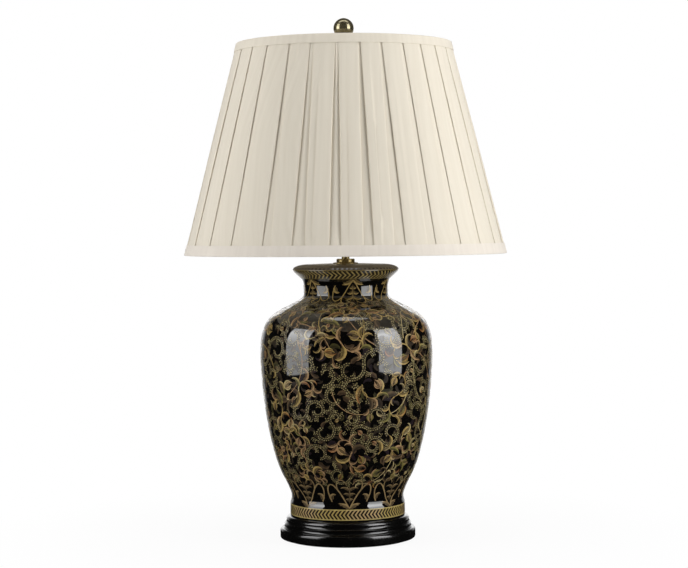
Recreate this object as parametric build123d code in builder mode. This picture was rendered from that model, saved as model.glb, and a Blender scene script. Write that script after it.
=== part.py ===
from build123d import *
import os
from math import cos, degrees, radians, sin, tan

# Porcelain table lamp. Millimetres, +Z up, origin on the table under the lamp's axis,
# front of the lamp towards -Y. Heights are stacked from the table upwards.

os.makedirs("parts", exist_ok=True)

# Clearances
slip_gap = 0.1          # pieces slipped or screwed on one another
turn_gap = 0.3          # pieces that turn or slide past one another
cloth_gap = 0.1         # between the layers of the shade

# Felt pad and plinth
felt_thickness = 1.5
felt_radius = 78.0
torus_root = 81.0       # radius where the torus starts
torus_height = 13.4
torus_bulge = 4.5
torus_foot = 2.6        # rounding under the upright face
torus_crown = 4.8       # rounding over it
torus_neck = 83.0       # radius at the top of the torus
bead_low_root = 81.6
bead_low_neck = 80.4
bead_low_height = 4.9
bead_high_root = 79.9
bead_high_neck = 77.9
bead_high_height = 5.5
bead_bulge = 1.1        # swell of both beads over their chords
quirk_height = 0.5      # flat between two mouldings
cove_foot = 77.5
cove_height = 3.9
cove_sag = 0.6          # hollow of the cove below its chord
plinth_edge = 74.0      # radius of the top land
seat_depth = 1.3        # recess for the vase's foot
recess_radius = 52.0    # hollow underside
recess_depth = 14.0

# Flex inlet at the back of the plinth
inlet_height = 8.0
bushing_radius = 4.1
bushing_bore = 3.0
bushing_flange_radius = 5.4
bushing_flange_thickness = 1.6
spot_face_depth = 2.0   # flat sunk into the torus for the flange
bushing_overhang = 2.0  # bushing past the wall into the recess

# Vase: black-glazed porcelain jar
gasket_thickness = 0.8
vase_wall = 5.5
vase_floor = 9.0
foot_radius = 72.4
foot_band_height = 14.5
foot_ring_width = 10.0
foot_ring_depth = 4.0
waist_radius = 70.3
waist_rise = 11.4
waist_handle = 6.0
hip_radius = 83.1
hip_rise = 30.0
hip_lean = 24.2         # degrees from upright
hip_low_handle = 5.8
hip_high_handle = 46.8
belly_radius = 108.4
belly_rise = 149.1
belly_low_handle = 26.0
belly_high_handle = 44.6
shoulder_radius = 98.8  # pull point of the shoulder's curve
shoulder_rise = 55.9
shoulder_lean = -60.0   # degrees from upright
neck_radius = 53.0
neck_rise = 74.9
neck_low_handle = 12.0
neck_high_handle = 18.0
flare_radius = 63.6
flare_rise = 26.5
flare_lean = 47.5
flare_handle = 12.2
lip_radius = 67.0
lip_rise = 4.5
lip_handle = 1.8
crest_radius = 50.3     # inner edge of the lip, round the cap
crest_rise = 6.4
crest_handle = 8.5

# Cap on the vase's mouth
cap_sink = 0.4
cap_edge = 2.6
cap_dome = 1.5
cap_land = 18.0
spigot_wall = 4.0
spigot_depth = 8.0

# Stem and its hardware (hollow M10 lamp tube)
stem_radius = 5.0
stem_bore = 3.6
stem_foot = 2.5         # tube showing below the nut
washer_radius = 20.0
washer_thickness = 2.0
nut_across_flats = 17.0
nut_height = 5.0
ring_radius = 16.0
ring_height = 1.4
ring_edge = 0.7
collar_radius = 11.6
collar_height = 4.4
collar_chamfer = 0.8
neck_run = 8.0          # bare tube between collar and saddle nut
saddle_nut_flats = 15.0
saddle_nut_height = 3.5

# Harp: saddle, wire loop, stud and locking sleeves
strap_thickness = 1.5
strap_width = 10.0
strap_disc = 9.5        # round middle of the strap, under the lampholder
strap_half = 24.5       # axis to the prong's outer face
strap_bend = 3.0
prong_shoulder = 6.0    # wide part of the prong above the strap
tongue_width = 4.0
tongue_height = 10.0
wire_radius = 1.6
sleeve_length = 11.0
sleeve_wall = 0.8
sleeve_bore = 3.3
sleeve_inset = 0.65     # tongue's outer face to the sleeve's axis
harp_height = 249.5     # strap to the stud's shoulder
harp_leg = 30.0         # straight leg that the sleeve slides on
harp_half = 54.0        # axis to the bow's widest
bow_lean = 22.0         # degrees from upright, leg to widest
crown_lean = 35.0       # degrees from upright, widest to top
crown_flat = 6.5        # half of the level stretch through the boss
leg_bend = 80.0
bow_bend = 80.0
shoulder_bend = 100.0
crown_bend = 24.0
boss_radius = 5.5
boss_below = 4.5        # boss under the wire's axis
boss_above = 4.5
stud_shoulder_radius = 8.0
stud_shoulder = 1.5
stud_radius = 3.1
stud_length = 12.0

# Lampholder
holder_hub_radius = 8.5
holder_hub_height = 3.0
holder_cup_radius = 16.4
holder_cone_height = 7.5
holder_rim_height = 8.5
holder_wall = 0.8
holder_boss_height = 6.0
shell_wall = 0.6
shell_seat = 1.2        # shell's end above the cup's cone
shell_height = 44.0
shell_bead = 0.7
liner_wall = 0.8
liner_inset = 2.0       # liner short of the shell at each end
body_lift = 0.6         # switch body above the liner's lower end
body_height = 19.0
screw_height = 21.0
screw_wall = 0.5
contact_length = 11.0
contact_width = 5.0
contact_thickness = 0.6
contact_rise = 1.2
terminal_flat = 3.2     # flats cut into the switch body
terminal_flat_height = 10.0
terminal_shank = 1.6
terminal_depth = 5.0
terminal_head = 3.0
terminal_head_height = 1.6

# Turn switch
shaft_radius = 2.0
shaft_rise = 12.0       # above the switch body's foot
shaft_depth = 6.0       # inside the switch body
shaft_stub = 9.5        # outside the shell
knob_clear = 2.4        # knob to shell
knob_hub_radius = 4.4
knob_hub_length = 3.0
knob_wing_length = 15.0
knob_wing_thickness = 5.0
knob_wing_depth = 8.5

# Bulb
bulb_tip_gap = 0.3
bulb_contact_radius = 4.8
bulb_contact_height = 1.6
bulb_insulator_height = 4.5
bulb_insulator_foot = 6.5
bulb_cap_radius = 13.1
bulb_cap_height = 21.0
bulb_cap_wall = 0.5
bulb_radius = 30.0
bulb_neck = 14.2
bulb_neck_rise = 46.0
bulb_neck_handle = 20.0
bulb_waist_handle = 24.0
bulb_wall = 0.9

# Shade
shade_height = 265.5
shade_bottom_radius = 203.5
shade_top_radius = 135.6
hub_recess = 8.7        # stud's shoulder below the top rim
trim_thickness = 0.7
trim_top_height = 11.5
trim_bottom_height = 13.5
trim_lip = 2.4
pleat_count = 30
pleat_first = -3.4      # degrees from the front, to the right
pleat_gap_bottom = 13.5
pleat_gap_top = 2.7
pleat_depth = 1.8
pleat_fold = 0.7        # run of a fold's side wall
pleat_crown = 0.5       # rise of a panel's middle over its edges
flat_count = 5          # flats of the cover's back behind each pleat
cloth_thickness = 0.6
lining_thickness = 0.9
ring_inset = 5.0        # ring's axis from the rim
hub_radius = 15.0
hub_thickness = 4.0
arm_count = 3
arm_start = 12.0
arm_first = 90.0        # degrees from +X

# Finial
ball_radius = 13.0
finial_foot_radius = 7.2
finial_foot_height = 2.2
finial_neck_radius = 4.6
finial_neck_height = 8.7
finial_sink = 1.0       # neck run into the ball
finial_thread = 3.3
finial_thread_depth = 9.2

# Heights stacked from the table
plinth_bottom = felt_thickness
torus_top = plinth_bottom + torus_height
bead_low_foot = torus_top + quirk_height
bead_low_top = bead_low_foot + bead_low_height
bead_high_foot = bead_low_top + quirk_height
bead_high_top = bead_high_foot + bead_high_height
plinth_top = bead_high_top + cove_height
seat_level = plinth_top - seat_depth
recess_level = plinth_bottom + recess_depth
vase_bottom = seat_level + gasket_thickness
band_level = vase_bottom + foot_band_height
waist_level = band_level + waist_rise
hip_level = waist_level + hip_rise
belly_level = hip_level + belly_rise
neck_level = belly_level + neck_rise
flare_level = neck_level + flare_rise
lip_level = flare_level + lip_rise
crest_level = lip_level + crest_rise
cap_top = crest_level - cap_sink
cap_bottom = cap_top - cap_edge
lip_seat = cap_bottom - gasket_thickness
land_level = cap_top + cap_dome
collar_level = land_level + ring_height
collar_top = collar_level + collar_height
saddle_nut_level = collar_top + neck_run
strap_level = saddle_nut_level + saddle_nut_height
holder_level = strap_level + strap_thickness
stud_level = holder_level + harp_height
shade_top = stud_level + hub_recess
shade_bottom = shade_top - shade_height


def shade_radius(height):
    """Outer radius of the shade's cone at a height."""
    share = (height - shade_bottom) / shade_height
    return shade_bottom_radius + share * (shade_top_radius - shade_bottom_radius)


def along(start, lean, length):
    """Point at a length from start, leaning outwards from upright."""
    return (start[0] + length * sin(radians(lean)), start[1] + length * cos(radians(lean)))


# Felt pad under the plinth
with BuildPart() as felt_pad:
    Cylinder(felt_radius, felt_thickness, align=(Align.CENTER, Align.CENTER, Align.MIN))
felt_pad.part.label = "felt_pad"
export_step(felt_pad.part, "parts/felt_pad.step")

# Plinth: turned section, hollow underneath, with a flat spot for the inlet at the back
torus_reach = torus_root + torus_bulge
spot_face = torus_reach - spot_face_depth
with BuildPart() as plinth:
    with BuildSketch(Plane.XZ):
        with BuildLine():
            Line((0, plinth_bottom), (torus_root, plinth_bottom))
            Bezier(
                (torus_root, plinth_bottom),
                (torus_reach, plinth_bottom),
                (torus_reach, plinth_bottom + torus_foot),
            )
            Line((torus_reach, plinth_bottom + torus_foot), (torus_reach, torus_top - torus_crown))
            Bezier(
                (torus_reach, torus_top - torus_crown),
                (torus_reach, torus_top - torus_crown / 4),
                (torus_neck, torus_top),
            )
            Polyline((torus_neck, torus_top), (bead_low_root, torus_top), (bead_low_root, bead_low_foot))
            SagittaArc((bead_low_root, bead_low_foot), (bead_low_neck, bead_low_top), bead_bulge)
            Polyline(
                (bead_low_neck, bead_low_top),
                (bead_high_root, bead_low_top),
                (bead_high_root, bead_high_foot),
            )
            SagittaArc((bead_high_root, bead_high_foot), (bead_high_neck, bead_high_top), bead_bulge)
            Line((bead_high_neck, bead_high_top), (cove_foot, bead_high_top))
            SagittaArc((cove_foot, bead_high_top), (plinth_edge, plinth_top), -cove_sag)
            Polyline((plinth_edge, plinth_top), (0, plinth_top), (0, plinth_bottom))
        make_face()
    revolve(axis=Axis.Z)
    with BuildSketch(Plane.XY.offset(seat_level)):
        Circle(foot_radius + turn_gap)
    extrude(amount=seat_depth, mode=Mode.SUBTRACT)
    with BuildSketch(Plane.XY.offset(plinth_bottom)):
        Circle(recess_radius)
    extrude(amount=recess_depth, mode=Mode.SUBTRACT)
    with BuildSketch(Plane.XY.offset(recess_level)):
        Circle(stem_radius + slip_gap)
    extrude(amount=plinth_top, mode=Mode.SUBTRACT)
    with BuildSketch(Plane.XZ.offset(-spot_face)):
        with Locations((0, inlet_height)):
            Circle(bushing_flange_radius + slip_gap)
    extrude(amount=-torus_reach, mode=Mode.SUBTRACT)
    with BuildSketch(Plane.XZ.offset(-spot_face)):
        with Locations((0, inlet_height)):
            Circle(bushing_radius)
    extrude(amount=spot_face, mode=Mode.SUBTRACT)
plinth.part.label = "plinth"
export_step(plinth.part, "parts/plinth.step")

# Bushing of the flex inlet: sleeve through the plinth's wall with a flange outside
bushing_tail = recess_radius - bushing_overhang
with BuildPart() as cord_bushing:
    with BuildSketch(Plane.XZ.offset(-bushing_tail)):
        with Locations((0, inlet_height)):
            Circle(bushing_radius - slip_gap)
    extrude(amount=bushing_tail - spot_face)
    with BuildSketch(Plane.XZ.offset(-spot_face)):
        with Locations((0, inlet_height)):
            Circle(bushing_flange_radius)
    extrude(amount=-bushing_flange_thickness)
    with BuildSketch(Plane.XZ.offset(-bushing_tail)):
        with Locations((0, inlet_height)):
            Circle(bushing_bore)
    extrude(amount=bushing_tail - spot_face - bushing_flange_thickness, mode=Mode.SUBTRACT)
cord_bushing.part.label = "cord_bushing"
export_step(cord_bushing.part, "parts/cord_bushing.step")

# Cork ring that the vase's foot stands on
foot_ring_inner = foot_radius - foot_ring_width
with BuildPart() as foot_gasket:
    with BuildSketch(Plane.XY.offset(seat_level)):
        Circle(foot_radius - slip_gap)
        Circle(foot_ring_inner, mode=Mode.SUBTRACT)
    extrude(amount=gasket_thickness)
foot_gasket.part.label = "foot_gasket"
export_step(foot_gasket.part, "parts/foot_gasket.step")

# Vase: shell turned from one outline, the cavity the same curves one wall further in
def body_curves(wall):
    """Waist, hip, belly, shoulder and neck, set in by a wall."""
    waist = (waist_radius - wall, waist_level)
    hip = along((hip_radius, hip_level), hip_lean + 90, -wall)
    belly = (belly_radius - wall, belly_level)
    pull = along((shoulder_radius, belly_level + shoulder_rise), shoulder_lean + 90, -wall)
    neck = (neck_radius - wall, neck_level)
    Bezier(waist, along(waist, 0, waist_handle), along(hip, hip_lean, -hip_low_handle), hip)
    Bezier(hip, along(hip, hip_lean, hip_high_handle), along(belly, 0, -belly_low_handle), belly)
    Bezier(
        belly,
        along(belly, 0, belly_high_handle - wall),
        pull,
        along(neck, 0, -neck_low_handle - wall),
        neck,
    )


flare_point = (flare_radius, flare_level)
throat_radius = neck_radius - vase_wall
cavity_radius = waist_radius - vase_wall
cavity_bottom = vase_bottom + vase_floor
with BuildPart() as vase:
    with BuildSketch(Plane.XZ):
        with BuildLine():
            Polyline((0, vase_bottom), (foot_radius, vase_bottom), (foot_radius, band_level))
            Bezier(
                (foot_radius, band_level),
                (foot_radius, band_level + waist_handle),
                (waist_radius, waist_level - waist_handle),
                (waist_radius, waist_level),
            )
            body_curves(0)
            Bezier(
                (neck_radius, neck_level),
                (neck_radius, neck_level + neck_high_handle),
                along(flare_point, flare_lean, -flare_handle),
                flare_point,
            )
            Bezier(
                flare_point,
                along(flare_point, flare_lean, lip_handle),
                (lip_radius, lip_level - lip_handle),
                (lip_radius, lip_level),
            )
            Bezier(
                (lip_radius, lip_level),
                (lip_radius, lip_level + crest_rise / 2),
                (crest_radius + crest_handle, crest_level),
                (crest_radius, crest_level),
            )
            Polyline((crest_radius, crest_level), (0, crest_level), (0, vase_bottom))
        make_face()
    revolve(axis=Axis.Z)
    with BuildSketch(Plane.XZ):
        with BuildLine():
            Polyline((0, cavity_bottom), (cavity_radius, cavity_bottom), (cavity_radius, waist_level))
            body_curves(vase_wall)
            Polyline(
                (throat_radius, neck_level),
                (throat_radius, crest_level),
                (0, crest_level),
                (0, cavity_bottom),
            )
        make_face()
    revolve(axis=Axis.Z, mode=Mode.SUBTRACT)
    with BuildSketch(Plane.XY.offset(lip_seat)):
        Circle(crest_radius)
    extrude(amount=crest_level - lip_seat, mode=Mode.SUBTRACT)
    with BuildSketch(Plane.XY.offset(vase_bottom)):
        Circle(foot_ring_inner)
    extrude(amount=foot_ring_depth, mode=Mode.SUBTRACT)
    with BuildSketch(Plane.XY.offset(vase_bottom)):
        Circle(stem_radius + turn_gap)
    extrude(amount=vase_floor, mode=Mode.SUBTRACT)
vase.part.label = "vase"
export_step(vase.part, "parts/vase.step")

# Cork ring in the lip's seat
with BuildPart() as cap_gasket:
    with BuildSketch(Plane.XY.offset(lip_seat)):
        Circle(crest_radius - slip_gap)
        Circle(throat_radius, mode=Mode.SUBTRACT)
    extrude(amount=gasket_thickness)
cap_gasket.part.label = "cap_gasket"
export_step(cap_gasket.part, "parts/cap_gasket.step")

# Cap: low dome with a flat land for the ring, and a hollow spigot in the throat
cap_radius = crest_radius - turn_gap
spigot_radius = throat_radius - turn_gap
with BuildPart() as vase_cap:
    with BuildSketch(Plane.XZ):
        with BuildLine():
            Polyline((0, land_level), (cap_land, land_level))
            TangentArc((cap_land, land_level), (cap_radius, cap_top), tangent=(1, 0))
            Polyline(
                (cap_radius, cap_top),
                (cap_radius, cap_bottom),
                (spigot_radius, cap_bottom),
                (spigot_radius, cap_bottom - spigot_depth),
                (spigot_radius - spigot_wall, cap_bottom - spigot_depth),
                (spigot_radius - spigot_wall, cap_bottom),
                (0, cap_bottom),
                (0, land_level),
            )
        make_face()
    revolve(axis=Axis.Z)
    with BuildSketch(Plane.XY.offset(cap_bottom)):
        Circle(stem_radius + slip_gap)
    extrude(amount=land_level - cap_bottom, mode=Mode.SUBTRACT)
vase_cap.part.label = "vase_cap"
export_step(vase_cap.part, "parts/vase_cap.step")

# Stem tube from under the plinth to the lampholder
stem_bottom = recess_level - washer_thickness - nut_height - stem_foot
stem_top = holder_level + holder_boss_height
with BuildPart() as stem_tube:
    with BuildSketch(Plane.XY.offset(stem_bottom)):
        Circle(stem_radius)
        Circle(stem_bore, mode=Mode.SUBTRACT)
    extrude(amount=stem_top - stem_bottom)
stem_tube.part.label = "stem_tube"
export_step(stem_tube.part, "parts/stem_tube.step")

# Washer and nut that clamp the stem under the plinth
with BuildPart() as stem_washer:
    with BuildSketch(Plane.XY.offset(recess_level)):
        Circle(washer_radius)
        Circle(stem_radius + slip_gap, mode=Mode.SUBTRACT)
    extrude(amount=-washer_thickness)
stem_washer.part.label = "stem_washer"
export_step(stem_washer.part, "parts/stem_washer.step")

with BuildPart() as stem_nut:
    with BuildSketch(Plane.XY.offset(recess_level - washer_thickness)):
        RegularPolygon(nut_across_flats / 2, 6, major_radius=False)
        Circle(stem_radius + slip_gap, mode=Mode.SUBTRACT)
    extrude(amount=-nut_height)
stem_nut.part.label = "stem_nut"
export_step(stem_nut.part, "parts/stem_nut.step")

# Flared ring and round collar on the cap
with BuildPart() as check_ring:
    with BuildSketch(Plane.XZ):
        with BuildLine():
            Polyline(
                (collar_radius, collar_level),
                (stem_radius + slip_gap, collar_level),
                (stem_radius + slip_gap, land_level),
                (ring_radius, land_level),
                (ring_radius, land_level + ring_edge),
            )
            TangentArc((collar_radius, collar_level), (ring_radius, land_level + ring_edge), tangent=(1, 0))
        make_face()
    revolve(axis=Axis.Z)
check_ring.part.label = "check_ring"
export_step(check_ring.part, "parts/check_ring.step")

with BuildPart() as neck_collar:
    with BuildSketch(Plane.XY.offset(collar_level)):
        Circle(collar_radius)
    extrude(amount=collar_height)
    chamfer(neck_collar.edges().group_by(Axis.Z)[-1], collar_chamfer)
    chamfer(neck_collar.edges().group_by(Axis.Z)[0], collar_chamfer / 2)
    with BuildSketch(Plane.XY.offset(collar_level)):
        Circle(stem_radius + slip_gap)
    extrude(amount=collar_height, mode=Mode.SUBTRACT)
neck_collar.part.label = "neck_collar"
export_step(neck_collar.part, "parts/neck_collar.step")

# Thin nut under the saddle
with BuildPart() as saddle_nut:
    with BuildSketch(Plane.XY.offset(saddle_nut_level)):
        RegularPolygon(saddle_nut_flats / 2, 6, major_radius=False)
        Circle(stem_radius + slip_gap, mode=Mode.SUBTRACT)
    extrude(amount=saddle_nut_height)
saddle_nut.part.label = "saddle_nut"
export_step(saddle_nut.part, "parts/saddle_nut.step")

# Harp saddle: strap bent up at both ends, each prong narrowed to a tongue
shoulder_level = holder_level + prong_shoulder
tongue_top = shoulder_level + tongue_height
notch = (strap_width - tongue_width) / 2
with BuildPart() as harp_saddle:
    with BuildSketch(Plane.XZ):
        with BuildLine():
            FilletPolyline(
                (-strap_half, tongue_top),
                (-strap_half, strap_level),
                (strap_half, strap_level),
                (strap_half, tongue_top),
                radius=strap_bend,
            )
            Line((strap_half, tongue_top), (strap_half - strap_thickness, tongue_top))
            FilletPolyline(
                (strap_half - strap_thickness, tongue_top),
                (strap_half - strap_thickness, holder_level),
                (strap_thickness - strap_half, holder_level),
                (strap_thickness - strap_half, tongue_top),
                radius=strap_bend - strap_thickness,
            )
            Line((strap_thickness - strap_half, tongue_top), (-strap_half, tongue_top))
        make_face()
    extrude(amount=strap_width / 2, both=True)
    with BuildSketch(Plane.XY.offset(strap_level)):
        Circle(strap_disc)
    extrude(amount=strap_thickness)
    with BuildSketch(Plane.XY.offset(shoulder_level)):
        with GridLocations(0, strap_width - notch, 1, 2):
            Rectangle(3 * strap_half, notch)
    extrude(amount=tongue_height, mode=Mode.SUBTRACT)
    with BuildSketch(Plane.XY.offset(strap_level)):
        Circle(stem_radius + slip_gap)
    extrude(amount=strap_thickness, mode=Mode.SUBTRACT)
harp_saddle.part.label = "harp_saddle"
export_step(harp_saddle.part, "parts/harp_saddle.step")

# Harp: one wire from leg to leg over the bulb
leg_x = strap_half + wire_radius + slip_gap / 2
leg_foot = shoulder_level + slip_gap
wire_top = stud_level - stud_shoulder - boss_above
leg_corner = leg_foot + harp_leg + leg_bend * tan(radians(bow_lean / 2))
bow_corner = leg_corner + (harp_half - leg_x) / tan(radians(bow_lean))
crown_corner = crown_flat + crown_bend * tan(radians((90 - crown_lean) / 2))
shoulder_corner = wire_top - (harp_half - crown_corner) / tan(radians(crown_lean))
with BuildPart() as harp_wire:
    with BuildLine() as harp_path:
        FilletPolyline(
            (-leg_x, 0, leg_foot),
            (-leg_x, 0, leg_corner),
            (-harp_half, 0, bow_corner),
            (-harp_half, 0, shoulder_corner),
            (-crown_corner, 0, wire_top),
            (crown_corner, 0, wire_top),
            (harp_half, 0, shoulder_corner),
            (harp_half, 0, bow_corner),
            (leg_x, 0, leg_corner),
            (leg_x, 0, leg_foot),
            radius=[
                leg_bend, bow_bend, shoulder_bend, crown_bend,
                crown_bend, shoulder_bend, bow_bend, leg_bend,
            ],
        )
    with BuildSketch(Plane(origin=(-leg_x, 0, leg_foot), z_dir=(0, 0, 1))):
        Circle(wire_radius)
    sweep()
harp_wire.part.label = "harp_wire"
export_step(harp_wire.part, "parts/harp_wire.step")

# Stud on the harp: boss clasping the wire, shoulder for the shade's hub, threaded stud
with BuildPart() as harp_stud:
    with BuildSketch(Plane.XY.offset(wire_top - boss_below)):
        Circle(boss_radius)
    extrude(amount=boss_below + boss_above)
    with BuildSketch(Plane.XY.offset(stud_level)):
        Circle(stud_shoulder_radius)
    extrude(amount=-stud_shoulder)
    with BuildSketch(Plane.XY.offset(stud_level)):
        Circle(stud_radius)
    extrude(amount=stud_length)
    with BuildSketch(Plane.YZ):
        with Locations((0, wire_top)):
            Circle(wire_radius + slip_gap / 2)
    extrude(amount=boss_radius, both=True, mode=Mode.SUBTRACT)
harp_stud.part.label = "harp_stud"
export_step(harp_stud.part, "parts/harp_stud.step")

# Sleeves that slide down over tongue and leg
sleeve_x = strap_half + sleeve_inset
for side, side_name in ((-1, "left"), (1, "right")):
    with BuildPart() as harp_sleeve:
        with BuildSketch(Plane.XY.offset(shoulder_level)):
            with Locations((side * sleeve_x, 0)):
                Circle(sleeve_bore + sleeve_wall)
                Circle(sleeve_bore, mode=Mode.SUBTRACT)
        extrude(amount=sleeve_length)
    harp_sleeve.part.label = f"harp_sleeve_{side_name}"
    export_step(harp_sleeve.part, f"parts/harp_sleeve_{side_name}.step")

# Lampholder cup: spun shell with a threaded boss
cone_level = holder_level + holder_hub_height + holder_cone_height
rim_level = cone_level + holder_rim_height
with BuildPart() as socket_cap:
    with BuildSketch(Plane.XZ):
        with BuildLine():
            Polyline(
                (0, holder_level),
                (holder_hub_radius, holder_level),
                (holder_hub_radius, holder_level + holder_hub_height),
                (holder_cup_radius, cone_level),
                (holder_cup_radius, rim_level),
                (0, rim_level),
                (0, holder_level),
            )
        make_face()
    revolve(axis=Axis.Z)
    offset(amount=-holder_wall, openings=socket_cap.faces().sort_by(Axis.Z)[-1], kind=Kind.INTERSECTION)
    with BuildSketch(Plane.XY.offset(holder_level)):
        Circle(holder_hub_radius - holder_wall)
    extrude(amount=holder_boss_height)
    with BuildSketch(Plane.XY.offset(holder_level)):
        Circle(stem_radius + slip_gap)
    extrude(amount=holder_boss_height, mode=Mode.SUBTRACT)
socket_cap.part.label = "socket_cap"
export_step(socket_cap.part, "parts/socket_cap.step")

# Lampholder shell, pushed into the cup, with a rolled rim and a hole for the switch
shell_radius = holder_cup_radius - holder_wall - slip_gap
shell_level = cone_level + shell_seat
shell_top = shell_level + shell_height
liner_radius = shell_radius - shell_wall - slip_gap
liner_level = shell_level + liner_inset
liner_top = shell_top - liner_inset
body_radius = liner_radius - liner_wall - slip_gap
body_level = liner_level + body_lift
body_top = body_level + body_height
shaft_level = body_level + shaft_rise
shaft_hole = shaft_radius + turn_gap
with BuildPart() as socket_shell:
    with BuildSketch(Plane.XY.offset(shell_level)):
        Circle(shell_radius)
        Circle(shell_radius - shell_wall, mode=Mode.SUBTRACT)
    extrude(amount=shell_height)
    with BuildSketch(Plane.XZ):
        with Locations((shell_radius - shell_wall / 2, shell_top - shell_bead)):
            Circle(shell_bead)
    revolve(axis=Axis.Z)
    with BuildSketch(Plane.XZ):
        with Locations((0, shaft_level)):
            Circle(shaft_hole)
    extrude(amount=holder_cup_radius, mode=Mode.SUBTRACT)
socket_shell.part.label = "socket_shell"
export_step(socket_shell.part, "parts/socket_shell.step")

# Insulating liner
with BuildPart() as socket_liner:
    with BuildSketch(Plane.XY.offset(liner_level)):
        Circle(liner_radius)
        Circle(liner_radius - liner_wall, mode=Mode.SUBTRACT)
    extrude(amount=liner_top - liner_level - 2 * shell_bead)
    with BuildSketch(Plane.XZ):
        with Locations((0, shaft_level)):
            Circle(shaft_hole)
    extrude(amount=holder_cup_radius, mode=Mode.SUBTRACT)
socket_liner.part.label = "socket_liner"
export_step(socket_liner.part, "parts/socket_liner.step")

# Switch body: moulded insulator with two flats, screw holes and the shaft's hole
flat_x = body_radius - terminal_flat
terminal_level = body_level + body_height / 2
with BuildPart() as switch_body:
    with BuildSketch(Plane.XY.offset(body_level)):
        Circle(body_radius)
    extrude(amount=body_height)
    with BuildSketch(Plane.XY.offset(terminal_level - terminal_flat_height / 2)):
        with GridLocations(2 * flat_x + terminal_flat, 0, 2, 1):
            Rectangle(terminal_flat, 2 * body_radius)
    extrude(amount=terminal_flat_height, mode=Mode.SUBTRACT)
    with BuildSketch(Plane.YZ.offset(flat_x - terminal_depth)):
        with Locations((0, terminal_level)):
            Circle(terminal_shank + slip_gap)
    extrude(amount=terminal_depth, mode=Mode.SUBTRACT)
    with BuildSketch(Plane.YZ.offset(terminal_depth - flat_x)):
        with Locations((0, terminal_level)):
            Circle(terminal_shank + slip_gap)
    extrude(amount=-terminal_depth, mode=Mode.SUBTRACT)
    with BuildSketch(Plane.XZ.offset(body_radius - shaft_depth - slip_gap)):
        with Locations((0, shaft_level)):
            Circle(shaft_hole)
    extrude(amount=shaft_depth + slip_gap, mode=Mode.SUBTRACT)
switch_body.part.label = "switch_body"
export_step(switch_body.part, "parts/switch_body.step")

# Two terminal screws, shank in the body and head on the flat
with BuildPart() as terminal_screws:
    with BuildSketch(Plane.YZ.offset(flat_x)):
        with Locations((0, terminal_level)):
            Circle(terminal_shank)
    extrude(amount=slip_gap - terminal_depth)
    with BuildSketch(Plane.YZ.offset(flat_x)):
        with Locations((0, terminal_level)):
            Circle(terminal_head)
    extrude(amount=terminal_head_height)
    mirror(about=Plane.YZ)
terminal_screws.part.label = "terminal_screws"
export_step(terminal_screws.part, "parts/terminal_screws.step")

# Threaded sleeve for the bulb, standing on the switch body
screw_radius = body_radius
with BuildPart() as screw_shell:
    with BuildSketch(Plane.XY.offset(body_top)):
        Circle(screw_radius)
        Circle(screw_radius - screw_wall, mode=Mode.SUBTRACT)
    extrude(amount=screw_height)
screw_shell.part.label = "screw_shell"
export_step(screw_shell.part, "parts/screw_shell.step")

# Spring tongue in the middle of the socket
with BuildPart() as centre_contact:
    with BuildSketch(Plane.XZ):
        with BuildLine():
            Polyline(
                (-contact_length / 2, body_top),
                (contact_length / 2, body_top),
                (contact_length / 2, body_top + contact_thickness),
                (contact_width / 2, body_top + contact_thickness + contact_rise),
                (-contact_width / 2, body_top + contact_thickness + contact_rise),
                (-contact_length / 2, body_top + contact_thickness),
                close=True,
            )
        make_face()
    extrude(amount=contact_width / 2, both=True)
centre_contact.part.label = "centre_contact"
export_step(centre_contact.part, "parts/centre_contact.step")

# Turn switch: shaft out to the front, knob with a flat wing
shaft_end = shell_radius + shaft_stub
knob_start = shell_radius + knob_clear
wing_start = knob_start + knob_hub_length
with BuildPart() as switch_shaft:
    with BuildSketch(Plane.XZ.offset(body_radius - shaft_depth)):
        with Locations((0, shaft_level)):
            Circle(shaft_radius)
    extrude(amount=shaft_end - body_radius + shaft_depth)
switch_shaft.part.label = "switch_shaft"
export_step(switch_shaft.part, "parts/switch_shaft.step")

with BuildPart() as switch_knob:
    with BuildSketch(Plane.XZ.offset(knob_start)):
        with Locations((0, shaft_level)):
            Circle(knob_hub_radius)
    extrude(amount=knob_hub_length)
    with BuildSketch(Plane.XZ.offset(wing_start)):
        with Locations((0, shaft_level)):
            SlotOverall(knob_wing_length, knob_wing_thickness)
    extrude(amount=knob_wing_depth)
    fillet(switch_knob.edges().group_by(Axis.Y)[0], knob_wing_thickness / 4)
    with BuildSketch(Plane.XZ.offset(knob_start)):
        with Locations((0, shaft_level)):
            Circle(shaft_radius + slip_gap / 2)
    extrude(amount=shaft_end - knob_start + slip_gap, mode=Mode.SUBTRACT)
switch_knob.part.label = "switch_knob"
export_step(switch_knob.part, "parts/switch_knob.step")

# Bulb: contact, insulator, screw cap and hollow globe
tip_level = body_top + contact_thickness + contact_rise + bulb_tip_gap
insulator_level = tip_level + bulb_contact_height
cap_level = insulator_level + bulb_insulator_height
globe_level = cap_level + bulb_cap_height
globe_middle = globe_level + bulb_neck_rise
with BuildPart() as bulb_contact:
    with BuildSketch(Plane.XY.offset(tip_level)):
        Circle(bulb_contact_radius)
    extrude(amount=bulb_contact_height)
    fillet(bulb_contact.edges().group_by(Axis.Z)[0], bulb_contact_height / 2)
bulb_contact.part.label = "bulb_contact"
export_step(bulb_contact.part, "parts/bulb_contact.step")

with BuildPart() as bulb_insulator:
    with BuildSketch(Plane.XY.offset(insulator_level)):
        Circle(bulb_insulator_foot)
    with BuildSketch(Plane.XY.offset(cap_level)):
        Circle(bulb_cap_radius - bulb_cap_wall)
    loft()
bulb_insulator.part.label = "bulb_insulator"
export_step(bulb_insulator.part, "parts/bulb_insulator.step")

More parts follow.
